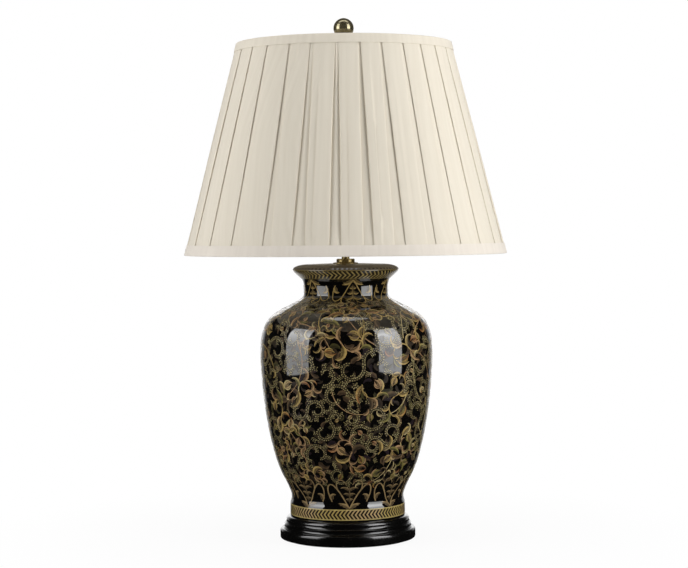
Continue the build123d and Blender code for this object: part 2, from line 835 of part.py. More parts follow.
with BuildPart() as bulb_cap:
    with BuildSketch(Plane.XY.offset(cap_level)):
        Circle(bulb_cap_radius)
        Circle(bulb_cap_radius - 2 * bulb_cap_wall, mode=Mode.SUBTRACT)
    extrude(amount=bulb_cap_height)
bulb_cap.part.label = "bulb_cap"
export_step(bulb_cap.part, "parts/bulb_cap.step")

with BuildPart() as bulb_globe:
    for wall in (0, bulb_wall):
        with BuildSketch(Plane.XZ):
            with BuildLine():
                Line((0, globe_level), (bulb_neck - wall, globe_level))
                Bezier(
                    (bulb_neck - wall, globe_level),
                    (bulb_neck - wall, globe_level + bulb_neck_handle),
                    (bulb_radius - wall, globe_middle - bulb_waist_handle),
                    (bulb_radius - wall, globe_middle),
                )
                RadiusArc(
                    (bulb_radius - wall, globe_middle),
                    (0, globe_middle + bulb_radius - wall),
                    wall - bulb_radius,
                )
                Line((0, globe_middle + bulb_radius - wall), (0, globe_level))
            make_face()
        revolve(axis=Axis.Z, mode=Mode.SUBTRACT if wall else Mode.ADD)
bulb_globe.part.label = "bulb_globe"
export_step(bulb_globe.part, "parts/bulb_globe.step")

# Layers of the shade, as insets from its outer cone
cover_inset = trim_thickness + cloth_gap
recess_inset = cover_inset + pleat_depth
cover_back = recess_inset + cloth_thickness
lining_face = cover_back + cloth_gap
lining_back = lining_face + lining_thickness
lip_inset = lining_back + cloth_gap
cover_bottom = shade_bottom + trim_thickness + cloth_gap
cover_top = shade_top - trim_thickness - cloth_gap


def pleat_points(height, gap_width):
    """Corners of the pleated section, pleat after pleat round the cone."""
    low = shade_radius(height) - recess_inset
    high = shade_radius(height) - cover_inset - pleat_crown
    gap_half = degrees(gap_width / 2 / low)
    fold = degrees(pleat_fold / low)
    pitch = 360 / pleat_count
    corners = []
    for pleat in range(pleat_count):
        middle = pleat_first - 90 + pleat * pitch
        for radius, angle in (
            (low, middle - gap_half),
            (low, middle + gap_half),
            (high, middle + gap_half + fold),
            (high + pleat_crown, middle + pitch / 2),
            (high, middle + pitch - gap_half - fold),
        ):
            corners.append((radius * cos(radians(angle)), radius * sin(radians(angle))))
    return corners


# Pleated cover: box pleats that close towards the top, hollow behind
with BuildPart() as shade_cover:
    with BuildSketch(Plane.XY.offset(cover_bottom)):
        with BuildLine():
            Polyline(*pleat_points(cover_bottom, pleat_gap_bottom), close=True)
        make_face()
    with BuildSketch(Plane.XY.offset(cover_top)):
        with BuildLine():
            Polyline(*pleat_points(cover_top, pleat_gap_top), close=True)
        make_face()
    loft(ruled=True)
    for height in (cover_bottom, cover_top):
        with BuildSketch(Plane.XY.offset(height)):
            RegularPolygon(shade_radius(height) - cover_back, pleat_count * flat_count, major_radius=False)
    loft(ruled=True, mode=Mode.SUBTRACT)
shade_cover.part.label = "shade_cover"
export_step(shade_cover.part, "parts/shade_cover.step")

# Stiff lining behind the cloth
with BuildPart() as shade_lining:
    with BuildSketch(Plane.XZ):
        with BuildLine():
            Polyline(
                (shade_radius(cover_bottom) - lining_face, cover_bottom),
                (shade_radius(cover_top) - lining_face, cover_top),
                (shade_radius(cover_top) - lining_back, cover_top),
                (shade_radius(cover_bottom) - lining_back, cover_bottom),
                close=True,
            )
        make_face()
    revolve(axis=Axis.Z)
shade_lining.part.label = "shade_lining"
export_step(shade_lining.part, "parts/shade_lining.step")

# Bindings on the two rims: outer band, fold over the rim, short lip inside
for rim, inward, band, rim_name in (
    (shade_top, -1, trim_top_height, "top"),
    (shade_bottom, 1, trim_bottom_height, "bottom"),
):
    band_end = rim + inward * band
    fold_level = rim + inward * trim_thickness
    lip_end = rim + inward * trim_lip
    with BuildPart() as shade_trim:
        with BuildSketch(Plane.XZ):
            with BuildLine():
                Polyline(
                    (shade_radius(band_end), band_end),
                    (shade_radius(rim), rim),
                    (shade_radius(rim) - lip_inset - trim_thickness, rim),
                    (shade_radius(lip_end) - lip_inset - trim_thickness, lip_end),
                    (shade_radius(lip_end) - lip_inset, lip_end),
                    (shade_radius(fold_level) - lip_inset, fold_level),
                    (shade_radius(fold_level) - trim_thickness, fold_level),
                    (shade_radius(band_end) - trim_thickness, band_end),
                    close=True,
                )
            make_face()
        revolve(axis=Axis.Z)
    shade_trim.part.label = f"shade_{rim_name}_trim"
    export_step(shade_trim.part, f"parts/shade_{rim_name}_trim.step")

# Wire rings inside the lining
slant = (shade_bottom_radius - shade_top_radius) / shade_height
ring_offset = lining_back + cloth_gap + wire_radius * (1 + slant ** 2) ** 0.5
top_ring_level = shade_top - ring_inset
bottom_ring_level = shade_bottom + ring_inset
top_ring_radius = shade_radius(top_ring_level) - ring_offset
bottom_ring_radius = shade_radius(bottom_ring_level) - ring_offset
with BuildPart() as shade_top_ring:
    with BuildSketch(Plane.XZ):
        with Locations((top_ring_radius, top_ring_level)):
            Circle(wire_radius)
    revolve(axis=Axis.Z)
shade_top_ring.part.label = "shade_top_ring"
export_step(shade_top_ring.part, "parts/shade_top_ring.step")

with BuildPart() as shade_bottom_ring:
    with BuildSketch(Plane.XZ):
        with Locations((bottom_ring_radius, bottom_ring_level)):
            Circle(wire_radius)
    revolve(axis=Axis.Z)
shade_bottom_ring.part.label = "shade_bottom_ring"
export_step(shade_bottom_ring.part, "parts/shade_bottom_ring.step")

# Spider: hub on the stud's shoulder and three arms out to the top ring
hub_middle = stud_level + turn_gap + hub_thickness / 2
hub_top = stud_level + turn_gap + hub_thickness
arm_reach = top_ring_radius - wire_radius - slip_gap
with BuildPart() as shade_spider:
    with BuildSketch(Plane.XY.offset(stud_level + turn_gap)):
        Circle(hub_radius)
    extrude(amount=hub_thickness)
    for arm in range(arm_count):
        heading = radians(arm_first + arm * 360 / arm_count)
        arm_foot = Vector(arm_start * cos(heading), arm_start * sin(heading), hub_middle)
        arm_tip = Vector(arm_reach * cos(heading), arm_reach * sin(heading), top_ring_level)
        with BuildSketch(Plane(origin=arm_foot, z_dir=arm_tip - arm_foot)):
            Circle(wire_radius)
        extrude(amount=(arm_tip - arm_foot).length)
    with BuildSketch(Plane.XY.offset(stud_level)):
        Circle(stud_radius + turn_gap)
    extrude(amount=hub_thickness + turn_gap, mode=Mode.SUBTRACT)
shade_spider.part.label = "shade_spider"
export_step(shade_spider.part, "parts/shade_spider.step")

# Finial: ball on a turned foot, screwed down on the hub
finial_level = hub_top + turn_gap
neck_foot = finial_level + finial_foot_height
neck_top = neck_foot + finial_neck_height
ball_level = neck_top - finial_sink + ball_radius
with BuildPart() as finial:
    with BuildSketch(Plane.XY.offset(finial_level)):
        Circle(finial_foot_radius)
    extrude(amount=finial_foot_height)
    fillet(finial.edges().group_by(Axis.Z)[-1], finial_foot_height / 2)
    with BuildSketch(Plane.XY.offset(neck_foot)):
        Circle(finial_neck_radius)
    extrude(amount=finial_neck_height)
    with Locations((0, 0, ball_level)):
        Sphere(ball_radius)
    with BuildSketch(Plane.XY.offset(finial_level)):
        Circle(finial_thread)
    extrude(amount=finial_thread_depth, mode=Mode.SUBTRACT)
finial.part.label = "finial"
export_step(finial.part, "parts/finial.step")
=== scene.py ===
import bpy
import random
from bisect import bisect_right
from math import atan2, cos, hypot, pi, radians, sin
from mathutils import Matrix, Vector


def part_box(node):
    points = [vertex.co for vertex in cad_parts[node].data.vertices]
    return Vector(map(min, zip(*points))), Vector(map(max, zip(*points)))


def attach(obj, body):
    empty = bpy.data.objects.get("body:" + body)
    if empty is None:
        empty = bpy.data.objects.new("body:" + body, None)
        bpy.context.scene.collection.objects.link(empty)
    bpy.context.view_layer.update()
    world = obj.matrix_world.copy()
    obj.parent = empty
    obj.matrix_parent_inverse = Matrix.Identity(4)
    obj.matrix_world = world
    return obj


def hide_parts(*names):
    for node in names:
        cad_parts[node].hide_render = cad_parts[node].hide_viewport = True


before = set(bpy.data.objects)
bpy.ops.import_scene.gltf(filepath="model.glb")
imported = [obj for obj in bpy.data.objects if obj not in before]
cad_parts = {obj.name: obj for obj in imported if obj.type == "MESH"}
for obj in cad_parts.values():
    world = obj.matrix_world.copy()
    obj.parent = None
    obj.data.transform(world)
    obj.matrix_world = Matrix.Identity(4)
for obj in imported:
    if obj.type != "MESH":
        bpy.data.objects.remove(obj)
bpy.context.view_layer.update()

scene = bpy.context.scene
scene.view_settings.view_transform = "Standard"
mm = 0.001


# Small helpers
def selectOnly(obj):
    bpy.ops.object.select_all(action="DESELECT")
    obj.select_set(True)
    bpy.context.view_layer.objects.active = obj


def mix(a, b, share):
    return a + (b - a) * share


def blend(a, b, share):
    # between two points or two colours
    return tuple(mix(x, y, share) for x, y in zip(a, b))


def tint(code):
    # screen colour, as picked in an image editor, to scene linear
    values = [int(code[i:i + 2], 16) / 255 for i in (0, 2, 4)]
    return tuple(v / 12.92 if v < 0.0405 else ((v + 0.055) / 1.055) ** 2.4 for v in values)


def along(start, lean, length):
    # lean in degrees from upright
    return (start[0] + length * sin(radians(lean)), start[1] + length * cos(radians(lean)))


def curveLine(controls, count):
    # Bezier curve through any number of controls
    line = []
    for i in range(count + 1):
        points = list(controls)
        while len(points) > 1:
            points = [blend(a, b, i / count) for a, b in zip(points, points[1:])]
        line.append(points[0])
    return line


def meshObject(name, corners, faces):
    mesh = bpy.data.meshes.new(name)
    mesh.from_pydata(corners, [], faces)
    obj = bpy.data.objects.new(name, mesh)
    scene.collection.objects.link(obj)
    return obj


def thicken(obj, thickness, offset=0):
    selectOnly(obj)
    layer = obj.modifiers.new("layer", "SOLIDIFY")
    layer.thickness, layer.offset = thickness, offset
    bpy.ops.object.modifier_apply(modifier=layer.name)


def turnOnLathe(name, outline, steps, closed=True):
    # outline of (radius, height) drawn as a line, then spun round the lamp's axis
    bpy.ops.curve.primitive_bezier_curve_add(location=(0, 0, 0))
    obj = bpy.context.object
    obj.name = obj.data.name = name
    obj.data.dimensions = "3D"
    obj.data.splines.clear()
    line = obj.data.splines.new("POLY")
    line.points.add(len(outline) - 1)
    for point, (radius, height) in zip(line.points, outline):
        point.co = (radius, 0, height, 1)
    line.use_cyclic_u = closed
    bpy.ops.object.convert(target="MESH")
    bpy.ops.object.mode_set(mode="EDIT")
    bpy.ops.mesh.select_all(action="SELECT")
    bpy.ops.mesh.spin(steps=steps, angle=2 * pi, center=(0, 0, 0), axis=(0, 0, 1))
    bpy.ops.mesh.select_all(action="SELECT")
    bpy.ops.mesh.remove_doubles(threshold=1e-6)
    bpy.ops.mesh.normals_make_consistent(inside=False)
    bpy.ops.object.mode_set(mode="OBJECT")
    return bpy.context.object


# Shader nodes
def feed(tree, socket, value):
    # a plain value, or a link from an output, or from a node's first output
    if isinstance(value, bpy.types.Node):
        value = next(output for output in value.outputs if output.enabled)
    if isinstance(value, bpy.types.NodeSocket):
        tree.links.new(value, socket)
    else:
        socket.default_value = value


def addNode(tree, kind, inputs=None, **settings):
    node = tree.nodes.new("ShaderNode" + kind)
    for label, value in settings.items():
        setattr(node, label, value)
    for label, value in (inputs or {}).items():
        feed(tree, node.inputs[label], value)
    return node


def coords(tree, kind):
    return addNode(tree, "TexCoord").outputs[kind]


def pick(tree, factor, a, b, kind="FLOAT"):
    # a, or b where the factor is 1
    return addNode(tree, "Mix", {"Factor": factor, "A": a, "B": b}, data_type=kind)


def mixColor(tree, factor, a, b):
    return pick(tree, factor, a, b, "RGBA")


# Camera at the photograph's place
photo = {
    "width": 688, "focal": 1940, "distance": 2.45, "height": 0.3965, "side": -0.0016,
    "pitch": 1.742, "roll": 0.5, "sensor": 36,
}
bpy.ops.object.camera_add(
    location=(photo["side"], -photo["distance"], photo["height"]),
    rotation=(radians(90 - photo["pitch"]), radians(photo["roll"]), 0),
)
camera = bpy.context.object
camera.data.sensor_width = photo["sensor"]
camera.data.lens = photo["focal"] * photo["sensor"] / photo["width"]
camera.data.clip_start = 0.01
scene.camera = camera
print("camera set")


# Studio: pale floor, white surroundings for the camera, two tall softboxes in front,
# weak lights behind and overhead
studio = {
    "floorSize": 8.0, "floorLevel": -0.3 * mm, "floorTone": (0.82, 0.82, 0.82, 1),
    "shadowReach": 0.5, "shadow": 0.08, "fill": 0.16,
    "glossFill": 0.008, "backGlow": 0.75, "backEdge": (0.80, 0.97),
}
softboxes = {
    "softboxLeft": {"azimuth": -67, "distance": 1.25, "height": 0.86, "size": (0.78, 1.7), "power": 17.5},
    "softboxRight": {"azimuth": 59, "distance": 1.25, "height": 0.86, "size": (0.76, 1.7), "power": 23.0},
    "softboxBack": {"azimuth": 180, "distance": 1.6, "height": 0.8, "size": (1.2, 1.6), "power": 6.9},
}
# brightness from a softbox's foot to its top
boxFade = [(0.0, 0.40), (0.18, 0.46), (0.34, 0.78), (0.47, 1.0), (0.58, 0.66), (1.0, 0.6)]
overhead = {"place": (0, -0.05, 1.9), "target": (0, 0, 0.3), "size": (1.9, 0.45), "power": 5.2}


def backGlow(tree, vector):
    # brightness that polished pieces reflect: only what lies straight behind the lamp is bright
    axes = addNode(tree, "SeparateXYZ", {"Vector": vector})
    start, end = studio["backEdge"]
    return addNode(tree, "MapRange", {
        "Value": axes.outputs["Y"], "From Min": start, "From Max": end,
        "To Min": studio["glossFill"], "To Max": studio["backGlow"],
    })


world = bpy.data.worlds.new("studioWhite")
scene.world = world
world.use_nodes = True
tree = world.node_tree
rays = addNode(tree, "LightPath").outputs
glossy = backGlow(tree, coords(tree, "Generated"))
strength = pick(tree, rays["Is Glossy Ray"], studio["fill"], glossy)
background = tree.nodes["Background"].inputs
feed(tree, background["Strength"], pick(tree, rays["Is Camera Ray"], strength, 1))
feed(tree, background["Color"], (1, 1, 1, 1))

bpy.ops.mesh.primitive_plane_add(size=studio["floorSize"], location=(0, 0, studio["floorLevel"]))
floor = bpy.context.object
floor.name = "floor"
floorPaint = bpy.data.materials.new("floorPaint")
floorPaint.use_nodes = True
tree = floorPaint.node_tree
tree.nodes.remove(tree.nodes["Principled BSDF"])
rays = addNode(tree, "LightPath").outputs
spot = coords(tree, "Object")
# the shadow shows near the lamp, and fades to plain white
away = addNode(tree, "VectorMath", {0: spot}, operation="LENGTH")
fade = addNode(tree, "MapRange", {
    "Value": away, "From Max": studio["shadowReach"], "To Min": 1 - studio["shadow"],
})
glossy = backGlow(tree, addNode(tree, "VectorMath", {0: spot}, operation="NORMALIZE"))
matt = addNode(tree, "BsdfDiffuse", {"Color": studio["floorTone"]})
glow = addNode(tree, "Emission", {"Strength": pick(tree, rays["Is Glossy Ray"], 1, glossy)})
share = pick(tree, rays["Is Camera Ray"], rays["Is Glossy Ray"], fade)
paint = addNode(tree, "MixShader", {"Fac": share, 1: matt, 2: glow})
feed(tree, tree.nodes["Material Output"].inputs["Surface"], paint)
floor.data.materials.append(floorPaint)


def areaLight(name, place, target, size, power):
    turn = (Vector(target) - Vector(place)).to_track_quat("-Z", "Y").to_euler()
    bpy.ops.object.light_add(type="AREA", location=place, rotation=turn)
    light = bpy.context.object
    light.name = name
    light.data.shape = "RECTANGLE"
    light.data.size, light.data.size_y = size
    light.data.energy = power
    light.visible_camera = False
    return light


def fadeLight(light, stops):
    light.data.use_nodes = True
    tree = light.data.node_tree
    spot = addNode(tree, "NewGeometry").outputs["Parametric"]
    axes = addNode(tree, "SeparateXYZ", {"Vector": spot})
    ramp = addNode(tree, "ValToRGB", {"Fac": axes.outputs["Y"]})
    marks = ramp.color_ramp.elements
    for height, tone in stops[1:-1]:
        marks.new(height)
    for mark, (height, tone) in zip(marks, stops):
        mark.position = height
        mark.color = (tone, tone, tone, 1)
    feed(tree, tree.nodes["Emission"].inputs["Strength"], ramp)


for name, box in softboxes.items():
    angle = radians(box["azimuth"])
    place = (box["distance"] * sin(angle), -box["distance"] * cos(angle), box["height"])
    fadeLight(areaLight(name, place, (0, 0, box["height"]), box["size"], box["power"]), boxFade)
areaLight("overheadLight", **overhead)
print("studio set")


# Shared shader effects
def newGroup(name, inputs, outputs):
    # inputs with their first value, None for a colour
    tree = bpy.data.node_groups.new(name, "ShaderNodeTree")
    for label, value in inputs.items():
        kind = "NodeSocketColor" if value is None else "NodeSocketFloat"
        socket = tree.interface.new_socket(label, in_out="INPUT", socket_type=kind)
        if value is not None:
            socket.default_value = value
    for label, kind in outputs.items():
        tree.interface.new_socket(label, in_out="OUTPUT", socket_type="NodeSocket" + kind)
    return tree, tree.nodes.new("NodeGroupInput").outputs, tree.nodes.new("NodeGroupOutput").inputs


def mottleGroup():
    # slow and fine noise together, as a value between Low and High
    tree, enter, leave = newGroup(
        "mottle", {"Scale": 40.0, "Low": 0.0, "High": 1.0}, {"Value": "Float", "Fine": "Float"}
    )
    spot = coords(tree, "Object")
    slow = addNode(tree, "TexNoise", {"Vector": spot, "Scale": enter["Scale"], "Detail": 4})
    finer = addNode(tree, "Math", {0: enter["Scale"], 1: 9}, operation="MULTIPLY")
    fine = addNode(tree, "TexNoise", {"Vector": spot, "Scale": finer, "Detail": 2})
    spread = addNode(tree, "MapRange", {
        "Value": slow, "From Min": 0.3, "From Max": 0.7, "To Min": enter["Low"], "To Max": enter["High"],
    })
    feed(tree, leave["Value"], spread)
    feed(tree, leave["Fine"], fine)
    return tree


def clothGroup():
    # plain weave with thicker slub threads, on the cloth's own UV map in metres
    tree, enter, leave = newGroup(
        "plainWeave", {"Thread": 2200.0, "Slub": 90.0}, {"Height": "Float", "Streak": "Float"}
    )
    spot = coords(tree, "UV")
    threads = {"Vector": spot, "Scale": enter["Thread"], "Distortion": 0.4}
    warp = addNode(tree, "TexWave", threads, bands_direction="X")
    weft = addNode(tree, "TexWave", threads, bands_direction="Y")
    weave = addNode(tree, "Math", {0: warp.outputs["Fac"], 1: weft.outputs["Fac"]}, operation="ADD")
    stretch = addNode(tree, "VectorMath", {0: spot, 1: (1, 0.035, 1)}, operation="MULTIPLY")
    slub = addNode(tree, "TexNoise", {"Vector": stretch, "Scale": enter["Slub"], "Detail": 3})
    total = addNode(tree, "Math", {0: weave, 1: 0.35, 2: slub}, operation="MULTIPLY_ADD")
    feed(tree, leave["Height"], total)
    feed(tree, leave["Streak"], slub)
    return tree


def tarnishGroup():
    # bright metal under patches of darker tarnish
    tree, enter, leave = newGroup(
        "tarnish", {"Metal": None, "Tarnish": None, "Scale": 60.0, "Amount": 0.5},
        {"Color": "Color", "Mask": "Float"},
    )
    spot = coords(tree, "Object")
    patch = addNode(tree, "TexNoise", {
        "Vector": spot, "Scale": enter["Scale"], "Detail": 6, "Roughness": 0.65,
    })
    edge = addNode(tree, "MapRange", {"Value": patch, "From Min": 0.36, "From Max": 0.66})
    amount = addNode(tree, "Math", {0: edge, 1: enter["Amount"]}, operation="MULTIPLY")
    feed(tree, leave["Color"], mixColor(tree, amount, enter["Metal"], enter["Tarnish"]))
    feed(tree, leave["Mask"], amount)
    return tree


mottle, plainWeave, tarnish = mottleGroup(), clothGroup(), tarnishGroup()


def placeGroup(tree, group, **values):
    return addNode(tree, "Group", values, node_tree=group)


def newMaterial(name, settings):
    material = bpy.data.materials.new(name)
    material.use_nodes = True
    shader = material.node_tree.nodes["Principled BSDF"].inputs
    for label, value in settings.items():
        shader[label].default_value = value
    return material, material.node_tree, shader


def addBump(tree, shader, height, strength, distance):
    bump = addNode(tree, "Bump", {"Strength": strength, "Distance": distance, "Height": height})
    feed(tree, shader["Normal"], bump)


def varyColor(tree, shader, factor, dark, light):
    feed(tree, shader["Base Color"], mixColor(tree, factor, (*dark, 1), (*light, 1)))


def speckled(name, dark, light, rough, scale, bump=0.0, depth=0.05 * mm, extra=None):
    # plain finish whose colour, gloss and surface vary a little
    material, tree, shader = newMaterial(name, extra or {})
    speck = placeGroup(tree, mottle, Scale=scale).outputs
    varyColor(tree, shader, speck["Value"], dark, light)
    feed(tree, shader["Roughness"], placeGroup(tree, mottle, Scale=scale * 0.6, Low=rough[0], High=rough[1]))
    if bump:
        addBump(tree, shader, speck["Fine"], bump, depth)
    return material


def agedMetal(name, metal, old, rough, scale, amount, bump=0.1, depth=0.02 * mm, extra=None):
    material, tree, shader = newMaterial(name, extra or {"Metallic": 1.0})
    skin = placeGroup(
        tree, tarnish, Metal=(*tint(metal), 1), Tarnish=(*tint(old), 1), Scale=scale, Amount=amount
    ).outputs
    feed(tree, shader["Base Color"], skin["Color"])
    feed(tree, shader["Roughness"], addNode(tree, "MapRange", {
        "Value": skin["Mask"], "To Min": rough[0], "To Max": rough[1],
    }))
    grain = placeGroup(tree, mottle, Scale=scale * 2)
    addBump(tree, shader, grain.outputs["Fine"], bump, depth)
    return material


def clothMaterial(name, dark, light, slub, threads=900, bump=0.25, depth=0.06 * mm):
    material, tree, shader = newMaterial(
        name, {"Roughness": 0.82, "Sheen Weight": 0.25, "Sheen Roughness": 0.45, "Specular IOR Level": 0.25}
    )
    weave = placeGroup(tree, plainWeave, Thread=threads, Slub=slub).outputs
    varyColor(tree, shader, weave["Streak"], tint(dark), tint(light))
    addBump(tree, shader, weave["Height"], bump, depth)
    return material


def dress(material, *nodes):
    # new finish on CAD nodes
    for node in nodes:
        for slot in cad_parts[node].material_slots:
            slot.material = material


def finishPiece(obj, smoothAngle, material, body, slotName, *nodes):
    # edges sharper than the angle stay crisp
    selectOnly(obj)
    bpy.ops.object.shade_smooth_by_angle(angle=radians(smoothAngle))
    obj.data.materials.clear()
    obj.data.materials.append(material)
    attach(obj, body)
    if nodes:
        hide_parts(*nodes)


# Finishes of the hard pieces that keep their CAD shape
capTones = tint("584d3a"), tint("6e614b")
dress(speckled("blackLacquer", (0.0012, 0.0011, 0.001), (0.0026, 0.0023, 0.002), (0.16, 0.24), 30,
               bump=0.04, extra={"Coat Weight": 0.9, "Coat Roughness": 0.10}), "plinth")
dress(speckled("bronzedCap", *capTones, (0.22, 0.30), 60,
               bump=0.06, extra={"Coat Weight": 0.4, "Coat Roughness": 0.16}), "vase_cap")
dress(speckled("bushingRubber", (0.012, 0.012, 0.012), (0.022, 0.021, 0.02), (0.5, 0.62), 90, bump=0.2),
      "cord_bushing")
dress(speckled("corkRing", tint("8a6440"), tint("b98d5e"), (0.8, 0.9), 260, bump=0.5, depth=0.15 * mm),
      "foot_gasket", "cap_gasket")
dress(agedMetal("polishedBrass", "b5a06a", "8a7744", (0.18, 0.34), 160, 0.55, extra={"Metallic": 0.65}),
      "stem_tube", "check_ring", "neck_collar", "saddle_nut")
dress(agedMetal("zincSteel", "b9bcc0", "7c7f84", (0.28, 0.45), 120, 0.5), "stem_washer", "stem_nut")
dress(agedMetal("harpBrass", "cdb272", "86703f", (0.20, 0.38), 200, 0.5),
      "harp_saddle", "harp_wire", "harp_stud", "harp_sleeve_left", "harp_sleeve_right")
dress(agedMetal("shellBrass", "d0b678", "8f7a48", (0.22, 0.36), 140, 0.4),
      "socket_cap", "socket_shell", "switch_shaft")
dress(agedMetal("nickelScrew", "cfcdc6", "8d8b84", (0.22, 0.4), 150, 0.4),
      "screw_shell", "terminal_screws", "bulb_cap")
dress(agedMetal("springContact", "c98d5a", "6d4526", (0.25, 0.45), 150, 0.5),
      "centre_contact", "bulb_contact")
dress(agedMetal("antiqueBrass", "a89e7a", "4c432c", (0.14, 0.26), 90, 0.7,
                extra={"Metallic": 0.75, "Coat Weight": 0.7, "Coat Roughness": 0.06}), "finial")
dress(speckled("linerCard", tint("cbb894"), tint("e0d2b4"), (0.75, 0.85), 180, bump=0.3), "socket_liner")
dress(speckled("switchMoulding", (0.010, 0.009, 0.009), (0.018, 0.016, 0.015), (0.32, 0.42), 80, bump=0.1),
      "switch_body")
dress(speckled("knobMoulding", (0.008, 0.008, 0.008), (0.014, 0.013, 0.012), (0.22, 0.32), 80, bump=0.08),
      "switch_knob")
dress(speckled("opalGlass", (0.86, 0.85, 0.82), (0.92, 0.91, 0.89), (0.22, 0.3), 40,
               extra={"Subsurface Weight": 0.3, "Subsurface Radius": (0.01, 0.01, 0.01)}), "bulb_globe")
dress(speckled("blackGlass", (0.006, 0.006, 0.008), (0.012, 0.012, 0.015), (0.08, 0.16), 60),
      "bulb_insulator")
dress(speckled("liningSheet", tint("dcd4c3"), tint("e6dfd0"), (0.55, 0.7), 22, bump=0.12, depth=0.1 * mm),
      "shade_lining")
dress(speckled("ringPaint", tint("e4dece"), tint("efeade"), (0.35, 0.5), 120, bump=0.15),
      "shade_top_ring", "shade_bottom_ring", "shade_spider")
print("CAD pieces finished")


# Vase: glazed porcelain jar turned from one outline, in metres
vaseSize = {
    "wall": 0.0055, "floor": 0.009, "footRing": 0.010, "footHollow": 0.004, "capSeat": 0.0038,
    "stemHole": 0.0053, "shoulder": (0.0988, 0.0559), "shoulderLean": -60, "steps": 224,
}
# radius, rise from the station below, lean in degrees, and reach of the curve before and after
stations = {
    "foot": (0.0724, 0.0145, 0, 0, 0.006),
    "waist": (0.0703, 0.0114, 0, 0.006, 0.006),
    "hip": (0.0831, 0.0300, 24.2, 0.0058, 0.0468),
    "belly": (0.1084, 0.1491, 0, 0.0260, 0.0446),
    "neck": (0.053, 0.0749, 0, 0.0120, 0.0180),
    "flare": (0.0636, 0.0265, 47.5, 0.0122, 0.0018),
    "lip": (0.0670, 0.0045, 0, 0.0018, 0.0032),
    "crest": (0.0503, 0.0064, 90, -0.0085, 0),
}
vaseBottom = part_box("vase")[0][2]
levels, level = {}, vaseBottom
for name, station in stations.items():
    level += station[1]
    levels[name] = level


def stationPoint(name, wall=0):
    return along((stations[name][0], levels[name]), stations[name][2] + 90, -wall)


def between(first, last, count, wall=0):
    # curve from one station to the next, set in by the wall
    lean, reach = stations[first][2], stations[first][4]
    endLean, endReach = stations[last][2:4]
    start, end = stationPoint(first, wall), stationPoint(last, wall)
    return curveLine([start, along(start, lean, reach), along(end, endLean, -endReach), end], count)


def bodyCurves(wall):
    # from the waist up to the neck
    belly, neck = stationPoint("belly", wall), stationPoint("neck", wall)
    width, rise = vaseSize["shoulder"]
    high = curveLine([
        belly, along(belly, 0, stations["belly"][4] - wall),
        along((width, levels["belly"] + rise), vaseSize["shoulderLean"] + 90, -wall),
        along(neck, 0, -stations["neck"][3] - wall), neck,
    ], 56)
    return between("waist", "hip", 14, wall) + between("hip", "belly", 44, wall)[1:] + high[1:]


def outerLine():
    footRadius = stations["foot"][0]
    line = [(footRadius, mix(vaseBottom, levels["foot"], i / 4)) for i in range(4)]
    line += between("foot", "waist", 10) + bodyCurves(0)[1:]
    for first, last, count in (("neck", "flare", 20), ("flare", "lip", 6), ("lip", "crest", 12)):
        line += between(first, last, count)[1:]
    return line


def vaseOutline():
    size = vaseSize
    wall, hole, ring = size["wall"], size["stemHole"], stations["foot"][0] - size["footRing"]
    throat, seat = stations["neck"][0] - wall, levels["crest"] - size["capSeat"]
    floorLevel, hollow = vaseBottom + size["floor"], vaseBottom + size["footHollow"]
    cavity = [(stations["waist"][0] - wall, floorLevel)] + bodyCurves(wall)[::4]
    inner = [(stations["crest"][0], seat), (throat, seat), (throat, levels["neck"])] + cavity[::-1]
    return outerLine() + inner + [(hole, floorLevel), (hole, hollow), (ring, hollow), (ring, vaseBottom)]


# Black glaze on the body, going over to a brown satin one on top of the lip
glaze, tree, shader = newMaterial(
    "blackGlaze", {"Specular IOR Level": 0.5, "Coat Roughness": 0.03, "Coat IOR": 1.7}
)
axes = addNode(tree, "SeparateXYZ", {"Vector": coords(tree, "Object")})
lipShare = addNode(tree, "MapRange", {
    "Value": axes.outputs["Z"], "From Min": levels["lip"] - 0.6 * mm, "From Max": levels["lip"] + 0.3 * mm,
})
cloud = placeGroup(tree, mottle, Scale=55.0)
black, brown = (
    mixColor(tree, cloud, (*dark, 1), (*light, 1))
    for dark, light in (((0.0012, 0.0010, 0.0009), (0.0032, 0.0026, 0.0020)), capTones)
)
feed(tree, shader["Base Color"], mixColor(tree, lipShare, black, brown))
gloss = placeGroup(tree, mottle, Scale=20.0, Low=0.035, High=0.075)
feed(tree, shader["Roughness"], pick(tree, lipShare, gloss, 0.42))
coating = addNode(tree, "MapRange", {"Value": lipShare, "To Min": 1.0, "To Max": 0.04})
feed(tree, shader["Coat Weight"], coating)
addBump(tree, shader, placeGroup(tree, mottle, Scale=38.0), 0.05, 0.25 * mm)

vase = turnOnLathe("vaseGlazed", vaseOutline(), vaseSize["steps"])
finishPiece(vase, 40, glaze, "stand", "porcelain", "vase")
print("vase turned")


# Printed decoration. Motifs are drawn on the glaze unrolled flat, then wrapped round the vase.
# On the flat sheet x runs round the vase and y up its side, at true scale where the radius is sheetRadius.
sheetRadius = 0.1
sheetWidth = 2 * pi * sheetRadius
chance = random.Random(11)
vary, choose = chance.uniform, chance.choice
enamel = {"bead": 0.22 * mm, "root": 0.08 * mm, "levels": 20}

wrapLine = outerLine()
wrapRise = [0.0]
for (r1, z1), (r2, z2) in zip(wrapLine, wrapLine[1:]):
    wrapRise.append(wrapRise[-1] + hypot(r2 - r1, z2 - z1) * 2 * sheetRadius / (r1 + r2))


def riseAt(height):
    # place up the flat sheet of a height on the vase
    for (r1, z1), (r2, z2), v1, v2 in zip(wrapLine, wrapLine[1:], wrapRise, wrapRise[1:]):
        if z1 <= height <= z2:
            return mix(v1, v2, (height - z1) / max(z2 - z1, 1e-9))
    return wrapRise[-1]


